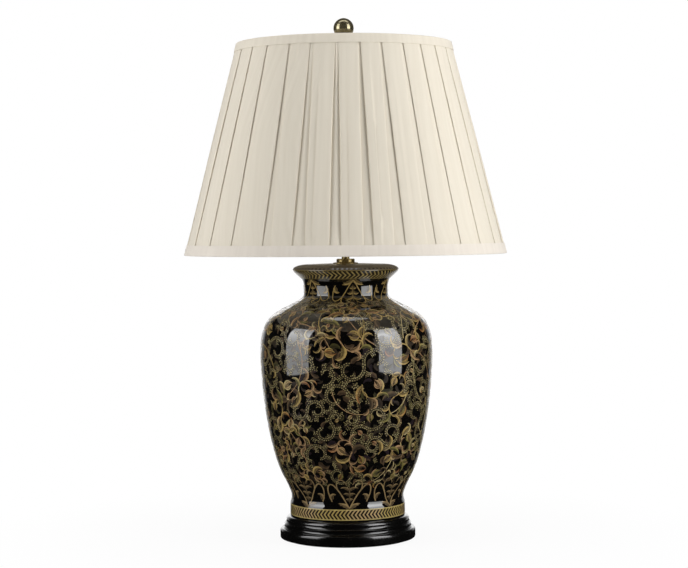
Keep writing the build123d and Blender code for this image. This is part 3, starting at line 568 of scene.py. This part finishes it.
def wrapPoint(x, y, lift):
    i = min(max(bisect_right(wrapRise, y) - 1, 0), len(wrapLine) - 2)
    share = (y - wrapRise[i]) / (wrapRise[i + 1] - wrapRise[i])
    (r1, z1), (r2, z2) = wrapLine[i], wrapLine[i + 1]
    run = hypot(r2 - r1, z2 - z1)
    radius = mix(r1, r2, share) + lift * (z2 - z1) / run
    height = mix(z1, z2, share) - lift * (r2 - r1) / run
    angle = x / sheetRadius
    return (radius * sin(angle), -radius * cos(angle), height)


class PrintLayer:
    # one print run: flat corners with their ink and lift, and the faces between them
    def __init__(self, name, lift, step=0.0):
        self.name, self.lift, self.step = name, lift, step
        self.corners, self.faces, self.motifs = [], [], 0

    def corner(self, x, y, ink, lift):
        self.corners.append((x, y, ink, lift))
        return len(self.corners) - 1

    def strip(self, rows):
        # rows of (points, inks) joined by faces, each motif a hair above the one before
        self.motifs += 1
        lift = self.lift + self.step * (self.motifs % enamel["levels"])
        previous = None
        for points, colours in rows:
            row = [self.corner(x, y, ink, lift) for (x, y), ink in zip(points, colours)]
            if previous:
                self.faces += zip(previous, previous[1:], row[1:], row)
            previous = row

    def ribbon(self, path, widths, dark, light, tones=(1.0, 0.6, 0.2)):
        # shaded line, with a bright and a dark side, as wide as given at its start and end
        rows = []
        sides = [mix(1, -1, k / (len(tones) - 1)) for k in range(len(tones))]
        colours = [blend(dark, light, tone) for tone in tones]
        for i, (x, y) in enumerate(path):
            x0, y0 = path[max(i - 1, 0)]
            x1, y1 = path[min(i + 1, len(path) - 1)]
            run = hypot(x1 - x0, y1 - y0) or 1
            nx, ny = -(y1 - y0) / run, (x1 - x0) / run
            half = mix(*widths, i / (len(path) - 1)) / 2
            rows.append(([(x + nx * half * side, y + ny * half * side) for side in sides], colours))
        self.strip(rows)

    def leaf(self, root, heading, length, width, curl, dark, light, tip=None, steps=6):
        # curling leaf: bright along its outer edge, dark inside the curl, scalloped on the inner side
        x, y = root
        rows = []
        outer = -1 if curl > 0 else 1
        for i in range(steps + 1):
            t = i / steps
            angle = heading + curl * t ** 1.3
            swell = sin(pi * t ** 0.65) ** 0.9 if 0 < t < 1 else 0
            scallop = 0.72 + 0.28 * abs(sin(3 * pi * t))
            half = width / 2 * (swell + 0.12 * (1 - t) + 0.02)
            bright = blend(light, tip, t) if tip else light
            sides = [(outer, 1.0), (outer * 0.35, 0.75), (-outer * 0.30, 0.06), (-outer * scallop, 0.5)]
            if outer < 0:
                sides.reverse()
            rows.append((
                [(x - sin(angle) * half * side, y + cos(angle) * half * side) for side, tone in sides],
                [blend(dark, bright, tone * (0.75 + 0.25 * t)) for side, tone in sides],
            ))
            x += cos(angle) * length / steps
            y += sin(angle) * length / steps
        self.strip(rows)

    def bead(self, centre, radius, ink):
        # raised drop of enamel on top of what is printed below
        ring = []
        for k in range(6):
            x, y = centre[0] + radius * cos(pi * k / 3), centre[1] + radius * sin(pi * k / 3)
            ring.append(self.corner(x, y, ink, self.lift - enamel["bead"]))
        top = self.corner(*centre, ink, self.lift)
        self.faces += [(a, b, top) for a, b in zip(ring, ring[1:] + ring[:1])]
        self.faces.append(tuple(ring[::-1]))

    def wrap(self, material, solid=True):
        spots = [wrapPoint(x, y, lift) for x, y, ink, lift in self.corners]
        obj = meshObject(self.name, spots, self.faces)
        colours = obj.data.color_attributes.new("ink", "FLOAT_COLOR", "POINT")
        colours.data.foreach_set("color", [value for corner in self.corners for value in (*corner[2], 1.0)])
        if solid:
            selectOnly(obj)
            bpy.ops.object.mode_set(mode="EDIT")
            bpy.ops.mesh.select_all(action="SELECT")
            bpy.ops.mesh.dissolve_degenerate(threshold=1e-6)
            bpy.ops.object.mode_set(mode="OBJECT")
            outward = sum(p.normal.x * p.center.x + p.normal.y * p.center.y for p in obj.data.polygons)
            if outward < 0:
                obj.data.flip_normals()
            thicken(obj, self.lift + enamel["root"], -1)
        finishPiece(obj, 40, material, "stand", "porcelain")
        print(self.name, len(obj.data.polygons), "faces")


enamelInk, tree, shader = newMaterial("enamelInk", {
    "Coat Weight": 1.0, "Coat Roughness": 0.04, "Coat IOR": 1.7, "Roughness": 0.4, "Specular IOR Level": 0.3,
})
ink = addNode(tree, "Attribute", attribute_name="ink").outputs["Color"]
worn = placeGroup(tree, mottle, Scale=300.0, Low=0.64, High=1.10)
feed(tree, shader["Base Color"], addNode(tree, "VectorMath", {0: ink, "Scale": worn}, operation="SCALE"))

# Inks as pairs of shadow and light
inkCodes = {
    "gold": ("181005", "d8b76c"), "paleGold": ("281d0a", "e8d294"), "olive": ("141306", "a0944c"),
    "tan": ("1c1108", "cfa674"), "fawn": ("1a120a", "ae9262"), "brown": ("171009", "745e40"),
    "rust": ("2a0d05", "c27a40"), "plum": ("140b10", "58404a"), "cream": ("857849", "bfb07c"),
}
inks = {name: (tint(dark), tint(light)) for name, (dark, light) in inkCodes.items()}
scrolls = {
    "low": 0.0790, "high": 0.3015, "count": 250, "sizes": (8.0 * mm, 18.5 * mm), "sweeps": 70,
    "push": 0.45, "margin": 0.85, "near": 5 * mm, "leafy": 0.36, "leafyTurns": 0.55, "dottedTurns": 0.9,
    "leafyStem": (1.6 * mm, 0.9 * mm), "dottedStem": (4.0 * mm, 4.0 * mm),
}
dotSize = {
    "row": 0.80 * mm, "gap": 1.3 * mm, "spread": 1.2 * mm, "bend": 0.22, "fork": 1.2,
    "stalk": 0.74 * mm, "step": 2.5 * mm, "side": 0.66 * mm, "reach": 2.1 * mm,
}
tendrilSize = {"count": 46, "step": 2.5 * mm, "stem": (1.3 * mm, 0.7 * mm), "leaf": (11 * mm, 3.4 * mm)}
gapSize = {"tries": 6000, "room": 2.2 * mm, "stretch": 2.2, "sprig": 11 * mm, "claim": 5 * mm}


def across(a, b):
    # shortest way round the vase
    return (a[0] - b[0] + sheetWidth / 2) % sheetWidth - sheetWidth / 2


def spreadCircles(low, high):
    # circles strewn at random, then pushed apart until they fill the zone evenly
    circles = [
        [vary(0, sheetWidth), vary(low, high), vary(*scrolls["sizes"])] for k in range(scrolls["count"])
    ]
    for sweep in range(scrolls["sweeps"]):
        for i, one in enumerate(circles):
            for other in circles[:i]:
                dx, dy = across(one, other), one[1] - other[1]
                gap = hypot(dx, dy) or 1e-9
                push = (one[2] + other[2] - gap) * scrolls["push"] / gap
                if push > 0:
                    one[0] += dx * push
                    one[1] += dy * push
                    other[0] -= dx * push
                    other[1] -= dy * push
            margin = one[2] * scrolls["margin"]
            one[1] = min(max(one[1], low + margin), high - margin)
    return circles


def pairUp(circles):
    # neighbours that one scroll shaped like an S runs through
    free, pairs = list(circles), []
    while free:
        one = free.pop(0)
        other = min(free, default=None, key=lambda c: hypot(across(c, one), c[1] - one[1]) - c[2])
        if other and hypot(across(other, one), other[1] - one[1]) < one[2] + other[2] + scrolls["near"]:
            free.remove(other)
            pairs.append((one, other))
        else:
            pairs.append((one, None))
    return pairs


def spiralArm(centre, joint, way, turns):
    # from the joint in to the eye of one circle
    dx, dy = joint[0] - centre[0], joint[1] - centre[1]
    reach, begin = hypot(dx, dy), atan2(dy, dx)
    turns, eye = turns * vary(0.8, 1.2), vary(0.16, 0.34)

    def point(t):
        radius = reach * mix(1, eye, t ** 1.2)
        angle = begin + way * t * 2 * pi * turns
        return (centre[0] + radius * cos(angle), centre[1] + radius * sin(angle))

    return point


def armsOf(one, other, way, turns):
    if not other:
        angle = vary(0, 2 * pi)
        joint = (one[0] + one[2] * cos(angle), one[1] + one[2] * sin(angle))
        return [(spiralArm(one, joint, way, turns), one[2])]
    dx, dy = across(other, one), other[1] - one[1]
    share = one[2] / (one[2] + other[2])
    joint = (one[0] + dx * share, one[1] + dy * share)
    return [
        (spiralArm(one, joint, way, turns), one[2]),
        (spiralArm((one[0] + dx, one[1] + dy), joint, way, turns), other[2]),
    ]


def headingAt(point, t):
    here, ahead = point(t), point(t + 0.01)
    return here, atan2(ahead[1] - here[1], ahead[0] - here[0])


def bud(leaves, root, heading, size, way):
    # petals that open like a fan, warm at the heart
    dark, light = inks[choose(("paleGold", "gold", "tan", "olive"))]
    warm = inks[choose(("rust", "rust", "plum", "gold", "tan", "tan"))][1]
    for turn, length, width, curl, tone, tip in (
        (-0.95, 1.15, 0.28, 2.3, light, None), (0.95, 0.95, 0.24, -2.0, light, None),
        (-0.42, 1.20, 0.30, 1.2, light, warm), (0.35, 1.00, 0.26, -0.8, warm, light),
    ):
        leaves.leaf(root, heading + way * turn, size * length, size * width, way * curl, dark, tone, tip)


def leafyArm(leaves, arm, way, size, ink):
    for t, side in ((0.05, -1), (0.18, 1), (0.30, -1), (0.46, -1), (0.58, 1), (0.70, -1), (0.86, -1)):
        here, heading = headingAt(arm, t + vary(-0.04, 0.04))
        turn = side * way
        length = size * (1.25 if side < 0 else 0.85) * mix(1.1, 0.7, t) * vary(0.7, 1.2)
        dark, light = inks[choose((ink, ink, "gold", "olive", "tan", "brown"))]
        tip = inks[choose(("rust", "paleGold", "paleGold"))][1] if chance.random() < 0.35 else None
        leaves.leaf(
            here, heading + turn * vary(0.25, 0.6), length, length * vary(0.20, 0.30),
            turn * choose((1.0, 1.0, -0.6)) * vary(1.6, 3.2), dark, light, tip,
        )
    here, heading = headingAt(arm, 0.98)
    bud(leaves, here, heading, size * vary(0.55, 0.85), way)


def dot(dots, x, y, size):
    dots.bead((x, y), size * vary(0.85, 1.15), blend(*inks["cream"], vary(0, 1)))


def dotRow(dots, path):
    # two rows of dots, set in turn to either side of a path
    walked, due, side = 0.0, 0.0, dotSize["spread"]
    for (x0, y0), (x1, y1) in zip(path, path[1:]):
        run = hypot(x1 - x0, y1 - y0)
        while due <= walked + run:
            x, y = blend((x0, y0), (x1, y1), (due - walked) / run)
            side = -side
            dot(dots, x - (y1 - y0) / run * side, y + (x1 - x0) / run * side, dotSize["row"])
            due += dotSize["gap"]
        walked += run


def sprig(dots, root, heading, length, side):
    # bending stalk of dots with a dot to either side
    count = max(2, round(length / dotSize["step"]))
    reach = dotSize["reach"]
    x, y = root
    for k in range(count):
        heading += side * dotSize["bend"]
        x += cos(heading) * length / count
        y += sin(heading) * length / count
        dot(dots, x, y, dotSize["stalk"])
        for turn in (-dotSize["fork"], dotSize["fork"]):
            dot(dots, x + cos(heading + turn) * reach, y + sin(heading + turn) * reach, dotSize["side"])


def dottedArm(leaves, dots, arm, way, size):
    for k in range(4):
        here, heading = headingAt(arm, 0.08 + 0.2 * k + vary(-0.05, 0.05))
        side = way if k == 1 else -way
        sprig(dots, here, heading + side * 0.8, size * vary(0.3, 0.55), side)
    if chance.random() < 0.45:
        here, heading = headingAt(arm, 0.98)
        bud(leaves, here, heading, size * 0.5, way)


def tendril(stems, leaves, low, high):
    # long thin stem that wanders between the scrolls, with a curled leaf at its end
    x, y = vary(0, sheetWidth), vary(low, high)
    heading, bend = vary(0, 2 * pi), choose((-1, 1)) * vary(12, 30)
    path, step = [(x, y)], tendrilSize["step"]
    for k in range(chance.randint(16, 30)):
        heading += bend * step
        bend *= vary(0.85, 1.12)
        x += cos(heading) * step
        y = min(max(y + sin(heading) * step, low), high)
        path.append((x, y))
    dark, light = inks[choose(("gold", "paleGold", "tan"))]
    stems.ribbon(path, tendrilSize["stem"], dark, light)
    leaves.leaf((x, y), heading, *tendrilSize["leaf"], choose((-2.2, 2.2)), dark, light)


def backLeaves(layer, x, y, radius):
    # whorl of dim leaves behind a scroll
    turn, way = vary(0, 2 * pi), choose((-1, 1))
    for k in range(6):
        ink = choose(("brown", "olive", "brown", "tan", "brown", "brown", "tan", "plum"))
        angle = turn + k * pi / 3 + vary(-0.4, 0.4)
        start = radius * vary(0.1, 0.75)
        size = radius * vary(0.6, 1.1)
        layer.leaf(
            (x + start * cos(angle), y + start * sin(angle)), angle + way * vary(0.2, 0.9), size,
            size * vary(0.28, 0.42), way * vary(1.0, 2.6),
            blend(*inks[ink], 0.02), blend(*inks[ink], 0.22), steps=5,
        )


def fillGaps(dots, circles, low, high):
    taken = [tuple(circle) for circle in circles]
    for k in range(gapSize["tries"]):
        spot = (vary(0, sheetWidth), vary(low, high))
        room = min(hypot(across(spot, c), spot[1] - c[1]) - c[2] for c in taken)
        if room > gapSize["room"]:
            angle = vary(0, 2 * pi)
            root = (spot[0] - room * cos(angle), spot[1] - room * sin(angle))
            sprig(dots, root, angle, min(gapSize["stretch"] * room, gapSize["sprig"]), choose((-1, 1)))
            taken.append((*spot, min(room, gapSize["claim"])))


backs = PrintLayer("printBacks", 0.08 * mm, 0.002 * mm)
stems = PrintLayer("printStems", 0.16 * mm, 0.001 * mm)
leaves = PrintLayer("printLeaves", 0.22 * mm, 0.0025 * mm)
trails, sprigs = PrintLayer("printTrails", 0.38 * mm), PrintLayer("printSprigs", 0.33 * mm)
low, high = riseAt(scrolls["low"]), riseAt(scrolls["high"])
circles = spreadCircles(low, high)
for circle in circles:
    backLeaves(backs, *circle)
for one, other in pairUp(circles):
    way = choose((-1, 1))
    leafy = chance.random() < scrolls["leafy"]
    ink = choose(("gold", "paleGold", "gold", "tan"))
    for arm, size in armsOf(one, other, way, scrolls["leafyTurns" if leafy else "dottedTurns"]):
        path = [arm(k / 20) for k in range(21)]
        if leafy:
            stems.ribbon(path, scrolls["leafyStem"], *inks[ink])
            leafyArm(leaves, arm, way, size, ink)
        else:
            stems.ribbon(path, scrolls["dottedStem"], *inks["brown"], tones=(0.2, 0.0, 0.2))
            dotRow(trails, path)
            dottedArm(leaves, sprigs, arm, way, size)
for k in range(tendrilSize["count"]):
    tendril(stems, leaves, low, high)
fillGaps(sprigs, circles, low, high)


# Chevron bands at the neck and round the foot
bands = {
    "neckBand": {
        "low": 0.3297, "high": 0.3408, "count": 70, "point": 1, "line": 1.3 * mm, "stroke": 0.35,
        "ground": ("0d0904", "120d06"), "edge": "98844f", "ink": "c0a867",
    },
    "footBand": {
        "low": 0.0326, "high": 0.0463, "count": 93, "point": -1, "line": 1.3 * mm, "stroke": 0.58,
        "ground": ("c8b064", "d0b27a"), "edge": "bca968", "ink": "140e06",
    },
}
bandMesh = {"rows": 6, "around": 124, "lean": 0.85, "inset": 0.04}


def chevronBand(grounds, strokes, band):
    rows, inset = bandMesh["rows"], bandMesh["inset"]
    low, high = riseAt(band["low"]), riseAt(band["high"])
    inLow, inHigh = low + band["line"], high - band["line"]
    around = [sheetWidth * k / bandMesh["around"] for k in range(bandMesh["around"] + 1)]
    edge, ink = tint(band["edge"]), tint(band["ink"])
    dark, light = (tint(code) for code in band["ground"])
    for bottom, top in ((low, inLow), (inHigh, high)):
        grounds.strip([([(x, bottom), (x, top)], [edge, edge]) for x in around])
    ground = []
    for x in around:
        turn = x / sheetRadius
        wave = blend(dark, light, 0.5 + 0.5 * sin(5 * turn + sin(11 * turn)))
        ground.append(([(x, mix(inLow, inHigh, i / rows)) for i in range(rows + 1)], [wave] * (rows + 1)))
    grounds.strip(ground)
    pitch = sheetWidth / band["count"]
    stroke, lean = pitch * band["stroke"], pitch * bandMesh["lean"] * band["point"]
    for k in range(band["count"]):
        chevron = []
        for i in range(rows + 1):
            x = k * pitch + lean * (1 - abs(2 * i / rows - 1))
            y = mix(inLow, inHigh, mix(inset, 1 - inset, i / rows))
            chevron.append(([(x, y), (x + stroke, y)], [ink, ink]))
        strokes.strip(chevron)


grounds, strokes = PrintLayer("bandGrounds", 0.10 * mm), PrintLayer("bandChevrons", 0.15 * mm)
for band in bands.values():
    chevronBand(grounds, strokes, band)

# Row of dark dashes all round the lip's upper edge, a painted reflection: they stand in for dark reflected
# marks seen on the lip
reflectionDashes = {"count": 72, "low": 1.1 * mm, "high": 2.5 * mm, "share": 0.5, "ink": tint("32281a")}
dashRows = [riseAt(levels["lip"] + reflectionDashes[label]) for label in ("low", "high")]
dashPitch = sheetWidth / reflectionDashes["count"]
for k in range(reflectionDashes["count"]):
    left, right = k * dashPitch, k * dashPitch + reflectionDashes["share"] * dashPitch
    strokes.strip([([(left, y), (right, y)], [reflectionDashes["ink"]] * 2) for y in dashRows])


# Border of lyre shapes that hangs under the neck band and stands on the foot band
borders = {
    "hanging": {"root": 0.3288, "tip": 0.3010, "repeats": 6, "first": 9.4, "ink": "gold"},
    "standing": {"root": 0.0472, "tip": 0.0820, "repeats": 8, "first": 1.7, "ink": "fawn"},
}
legLine = curveLine([(0, 0), (0.22, 0.30), (0.40, 0.62), (0.58, 0.80)], 10)
hookLine = curveLine([(0.58, 0.80), (0.82, 1.08), (1.06, 0.72), (0.78, 0.24)], 14)
lobeLine = curveLine([(0.46, 0.66), (0.66, 1.02), (0.30, 1.22), (0.12, 0.88)], 12)
lyreLines = ((legLine + hookLine[1:], (2.5 * mm, 2.2 * mm)), (lobeLine, (1.9 * mm, 1.2 * mm)))
# place, turn, length, width, curl and tone of the leaves; the first one's length goes by the height
lyreLeaves = (
    (0.78, 0.30, 0.1, 0.32, 0.20, 2.2, 1), (0, 0, 0.95, 0.55, 0.17, -0.5, 1),
    (0.10, 0.10, 1.25, 0.34, 0.12, -0.7, 1), (0, 0.28, 0.75, 0.18, 0.13, -1.5, 0.85),
    (0, 0.46, 0.75, 0.30, 0.13, -1.5, 0.85), (0, 0.66, 0.75, 0.42, 0.13, -1.5, 0.85),
)


def lyre(layer, beads, x, root, span, size, ink):
    # legs that part in a V, hook outwards, and close over tiers of small leaves
    dark, light = inks[ink]
    up = pi / 2 if size > 0 else -pi / 2
    for side in (-1, 1):
        for line, widths in lyreLines:
            path = [(x + side * px * span, root + py * size) for px, py in line]
            layer.ribbon(path, widths, dark, light, tones=(0.7, 0.9, 0.35))
        flip = side if size > 0 else -side
        for px, py, turn, length, width, curl, tone in lyreLeaves:
            start = (x + side * px * span, root + py * size)
            length *= span if curl < 0 else abs(size)
            bright = blend(dark, light, tone)
            layer.leaf(start, up - flip * turn, length, span * width, flip * curl, dark, bright)
        beads.bead((x + side * span * 0.93, root + 0.90 * size), 0.9 * mm, inks["cream"][0])
    spike = (x, root + 0.18 * size)
    layer.leaf(spike, up, abs(size) * 0.78, span * 0.07, 0.05, dark, blend(dark, light, 0.6))


borderLayer = PrintLayer("printBorders", 0.16 * mm, 0.002 * mm)
for border in borders.values():
    root, tip = riseAt(border["root"]), riseAt(border["tip"])
    step = sheetWidth / border["repeats"]
    for k in range(border["repeats"]):
        x = k * step + radians(border["first"]) * sheetRadius
        lyre(borderLayer, sprigs, x, root, step / 2, tip - root, border["ink"])

for layer in (backs, grounds, strokes, stems, leaves, borderLayer):
    layer.wrap(enamelInk)
for layer in (trails, sprigs):
    layer.wrap(enamelInk, solid=False)
print("decoration printed")


# Shade: pleated cloth cover, drawn pleat by pleat and given its thickness
shadeSize = {
    "bottomRadius": 0.2035, "topRadius": 0.1356, "pleats": 30, "firstPleat": -5.4,
    "gapBottom": 0.0135, "gapTop": 0.0027, "flatPitch": 0.0625, "rows": 22,
    "panelInset": 0.95 * mm, "edgeInset": 1.32 * mm, "tuckInset": 1.95 * mm, "baseInset": 2.50 * mm,
    "cloth": 0.30 * mm, "tuckFollow": 0.4, "bulgeWidth": 0.75, "seed": 5,
}
# the folds lie flat under the two tapes: where they start and end to stand out, and over how much height
foldRise = {"start": 0.046, "rise": 0.08, "end": 0.95, "fall": 0.35}
# Pleats of the photographed side as they were sewn: degrees to the side, width of the gap,
# and how far in mm the folds stand out at the bottom and half way up
sewnPleats = {
    24: (-4.0, 0.8, -0.2, 0.0), 25: (-1.2, 0.9, 0.2, 0.6), 26: (-0.5, 0.85, 0.1, 0.5),
    27: (-0.5, 0.85, -0.1, 0.5), 28: (1.5, 0.9, 0.3, 0.9), 29: (1.3, 1.3, 1.1, 1.5),
    0: (1.9, 1.15, 1.8, 2.4), 1: (1.2, 1.0, 1.2, 1.8), 2: (0.1, 1.1, 0.5, 1.0),
    3: (0.1, 1.0, -0.1, 0.3), 4: (-0.6, 0.95, -0.2, 0.2), 5: (-1.1, 0.75, -0.3, 0.3),
    6: (-0.8, 0.65, -0.4, 0.0),
}
# the same four for the other pleats, as ranges
plainPleat = ((-1.0, 1.0), (0.85, 1.2), (-0.3, 0.4), (0.1, 0.7))
# recesses whose cloth bulges between the folds
bulges = {29: 1.0 * mm, 0: 1.6 * mm}
shadeBottom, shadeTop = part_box("shade_bottom_trim")[0][2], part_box("shade_top_trim")[1][2]
coverLow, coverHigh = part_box("shade_cover")[0][2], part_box("shade_cover")[1][2]


def shadeRadius(height):
    share = (height - shadeBottom) / (shadeTop - shadeBottom)
    return mix(shadeSize["bottomRadius"], shadeSize["topRadius"], share)


def halfPleat(height, gapHalf, wobble, puff, bulge):
    # (distance from the recess's middle, inset) from the recess out to the panel's middle
    size = shadeSize
    pitch = 2 * pi * shadeRadius(height) / size["pleats"]
    tuck = (size["flatPitch"] - pitch) / 4
    edge = gapHalf + wobble
    base, edgeIn = size["baseInset"], size["edgeInset"] - puff
    middle = size["tuckInset"] - size["tuckFollow"] * puff
    back, front = (base - middle) / 2, (middle - edgeIn) / 2
    inner, outer = edge + tuck - back, edge + front
    line = []
    for k in range(5):
        run = mix(0, inner, k / 4)
        line.append((run, base - bulge * max(1 - (run / (size["bulgeWidth"] * edge)) ** 2, 0)))
    for k in range(1, 4):
        turn = pi * k / 4
        line.append((inner + back * sin(turn), (base + middle) / 2 + back * cos(turn)))
    line += [(mix(inner, outer, k / 3), middle) for k in range(4)]
    for k in range(1, 6):
        turn = pi * k / 6
        line.append((outer - front * sin(turn), (middle + edgeIn) / 2 + front * cos(turn)))
    for k in range(6):
        crown = 1 - (1 - k / 5) ** 2
        line.append((mix(outer, pitch / 2, k / 5), mix(edgeIn, size["panelInset"] - puff, crown)))
    return line


def coverMesh():
    # corners of the cover row by row, and the place of each on the flat cloth
    size = shadeSize
    chance = random.Random(size["seed"])
    pleats = []
    for k in range(size["pleats"]):
        plain = [chance.uniform(*span) for span in plainPleat]
        shift, gap, low, high = sewnPleats.get(k, plain)
        pleats.append({
            "shift": radians(shift), "gap": gap, "low": low * mm, "high": high * mm,
            "phase": chance.uniform(0, 2 * pi), "sag": chance.uniform(0.1, 0.4) * mm,
        })
    corners, layout = [], []
    for row in range(size["rows"] + 1):
        share = row / size["rows"]
        height = mix(coverLow, coverHigh, share)
        radius = shadeRadius(height)
        rise = (share - foldRise["start"]) / foldRise["rise"]
        fall = (foldRise["end"] - share) / foldRise["fall"]
        walked, last = 0.0, None
        for k, pleat in enumerate(pleats):
            middle = radians(size["firstPleat"] + 360 / size["pleats"] * k)
            gapHalf = mix(size["gapBottom"], size["gapTop"], share) / 2 * pleat["gap"]
            wobble = pleat["sag"] * sin(5 * share + pleat["phase"])
            puff = mix(pleat["low"], pleat["high"], min(share / 0.5, 1)) * max(min(rise, fall, 1), 0)
            half = halfPleat(height, gapHalf, wobble, puff, bulges.get(k, 0))
            line = [(-run, inset) for run, inset in half[::-1]] + half[1:]
            for run, inset in line[:-1]:
                angle = middle + run / radius + pleat["shift"] * (1 - abs(run / half[-1][0]) ** 6)
                place = (radius - inset) * sin(angle), -(radius - inset) * cos(angle)
                if last:
                    walked += hypot(place[0] - last[0], place[1] - last[1])
                last = place
                corners.append((*place, height))
                layout.append((walked, height))
    return corners, layout


def flatMap(obj, layout):
    # UV map of the flat cloth in metres
    cloth = obj.data.uv_layers.new(name="cloth")
    for loop in obj.data.loops:
        cloth.data[loop.index].uv = layout[loop.vertex_index]


corners, layout = coverMesh()
rowLength = len(corners) // (shadeSize["rows"] + 1)
faces = []
for row in range(shadeSize["rows"]):
    for k in range(rowLength):
        a, b = row * rowLength + k, row * rowLength + (k + 1) % rowLength
        faces.append((a, b, b + rowLength, a + rowLength))
cover = meshObject("pleatedCover", corners, faces)
flatMap(cover, layout)
thicken(cover, shadeSize["cloth"])
shadeCloth = clothMaterial("ivoryCloth", "e3dac8", "f1e9d9", 160)
finishPiece(cover, 60, shadeCloth, "shade", "shade_cloth", "shade_cover")
print("cover pleated", len(cover.data.polygons), "faces")


# Bias tape folded over the shade's two rims
tapes = {
    "topTape": {"node": "shade_top_trim", "way": 1, "tones": ("e4dbca", "f1e9d9")},
    "bottomTape": {"node": "shade_bottom_trim", "way": -1, "tones": ("e5dcd0", "f2eade")},
}
tapeSize = {
    "thickness": 0.5 * mm, "inner": 4.65 * mm, "lip": 2.4 * mm, "lipBend": 0.8 * mm, "dip": 0.25 * mm,
    "round": 1.2 * mm, "press": 0.25 * mm, "steps": 240,
}


def tapeLine(low, high, way):
    # from the inner lip, over the rim and down the outside
    half, inner, turn = tapeSize["thickness"] / 2, tapeSize["inner"], tapeSize["round"]
    rim = (high if way > 0 else low) - way * half
    far = (low if way > 0 else high) + way * half
    lean = (shadeSize["topRadius"] - shadeSize["bottomRadius"]) / (shadeTop - shadeBottom)
    spots = [(inner, rim - way * tapeSize["lip"]), (inner, rim - way * tapeSize["lipBend"])]
    for k in range(4):
        spots.append((mix(inner, turn, k / 3), rim - way * tapeSize["dip"] * abs(k - 1.5) / 1.5))
    for k in range(1, 6):
        angle = pi / 2 * k / 5
        spots.append((half + turn * (1 - sin(angle)), rim - way * turn * (1 - cos(angle))))
    for k in range(1, 7):
        spots.append((half + tapeSize["press"] * max(k - 4, 0) / 2, mix(rim - way * turn, far, k / 6)))
    return [(shadeRadius(rim) - inset + lean * (height - rim), height) for inset, height in spots]


for name, tape in tapes.items():
    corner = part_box(tape["node"])
    line = tapeLine(corner[0][2], corner[1][2], tape["way"])
    obj = turnOnLathe(name, line, tapeSize["steps"], closed=False)
    width = sum(hypot(b[0] - a[0], b[1] - a[1]) for a, b in zip(line, line[1:]))
    outerRadius = line[-1][0]
    flatMap(obj, [(atan2(spot.co.x, -spot.co.y) * outerRadius, spot.co.z) for spot in obj.data.vertices])
    thicken(obj, tapeSize["thickness"])
    tapeCloth = clothMaterial(name + "Cloth", *tape["tones"], 200)
    finishPiece(obj, 50, tapeCloth, "shade", "shade_cloth", tape["node"])
print("tapes folded")


# Felt pad glued under the plinth
felt = {"edge": 0.35 * mm, "bevel": 0.105 * mm, "steps": 160}
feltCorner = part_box("felt_pad")
feltRadius, feltTop = feltCorner[1][0], feltCorner[1][2]
edge, bevel = felt["edge"], felt["bevel"]
underside = [
    (0, 0), (feltRadius * 0.5, 0), (feltRadius - edge, 0), (feltRadius - bevel, bevel), (feltRadius, edge),
]
upperSide = [(radius, feltTop - height) for radius, height in underside[::-1]]
feltPad = turnOnLathe("feltPad", underside + upperSide, felt["steps"], closed=False)
feltCloth = speckled("greenFelt", tint("1f3a2a"), tint("31523c"), (0.92, 0.98), 420, bump=0.6,
                     depth=0.2 * mm, extra={"Sheen Weight": 0.5, "Specular IOR Level": 0.1})
finishPiece(feltPad, 40, feltCloth, "stand", "felt", "felt_pad")
print("felt laid")
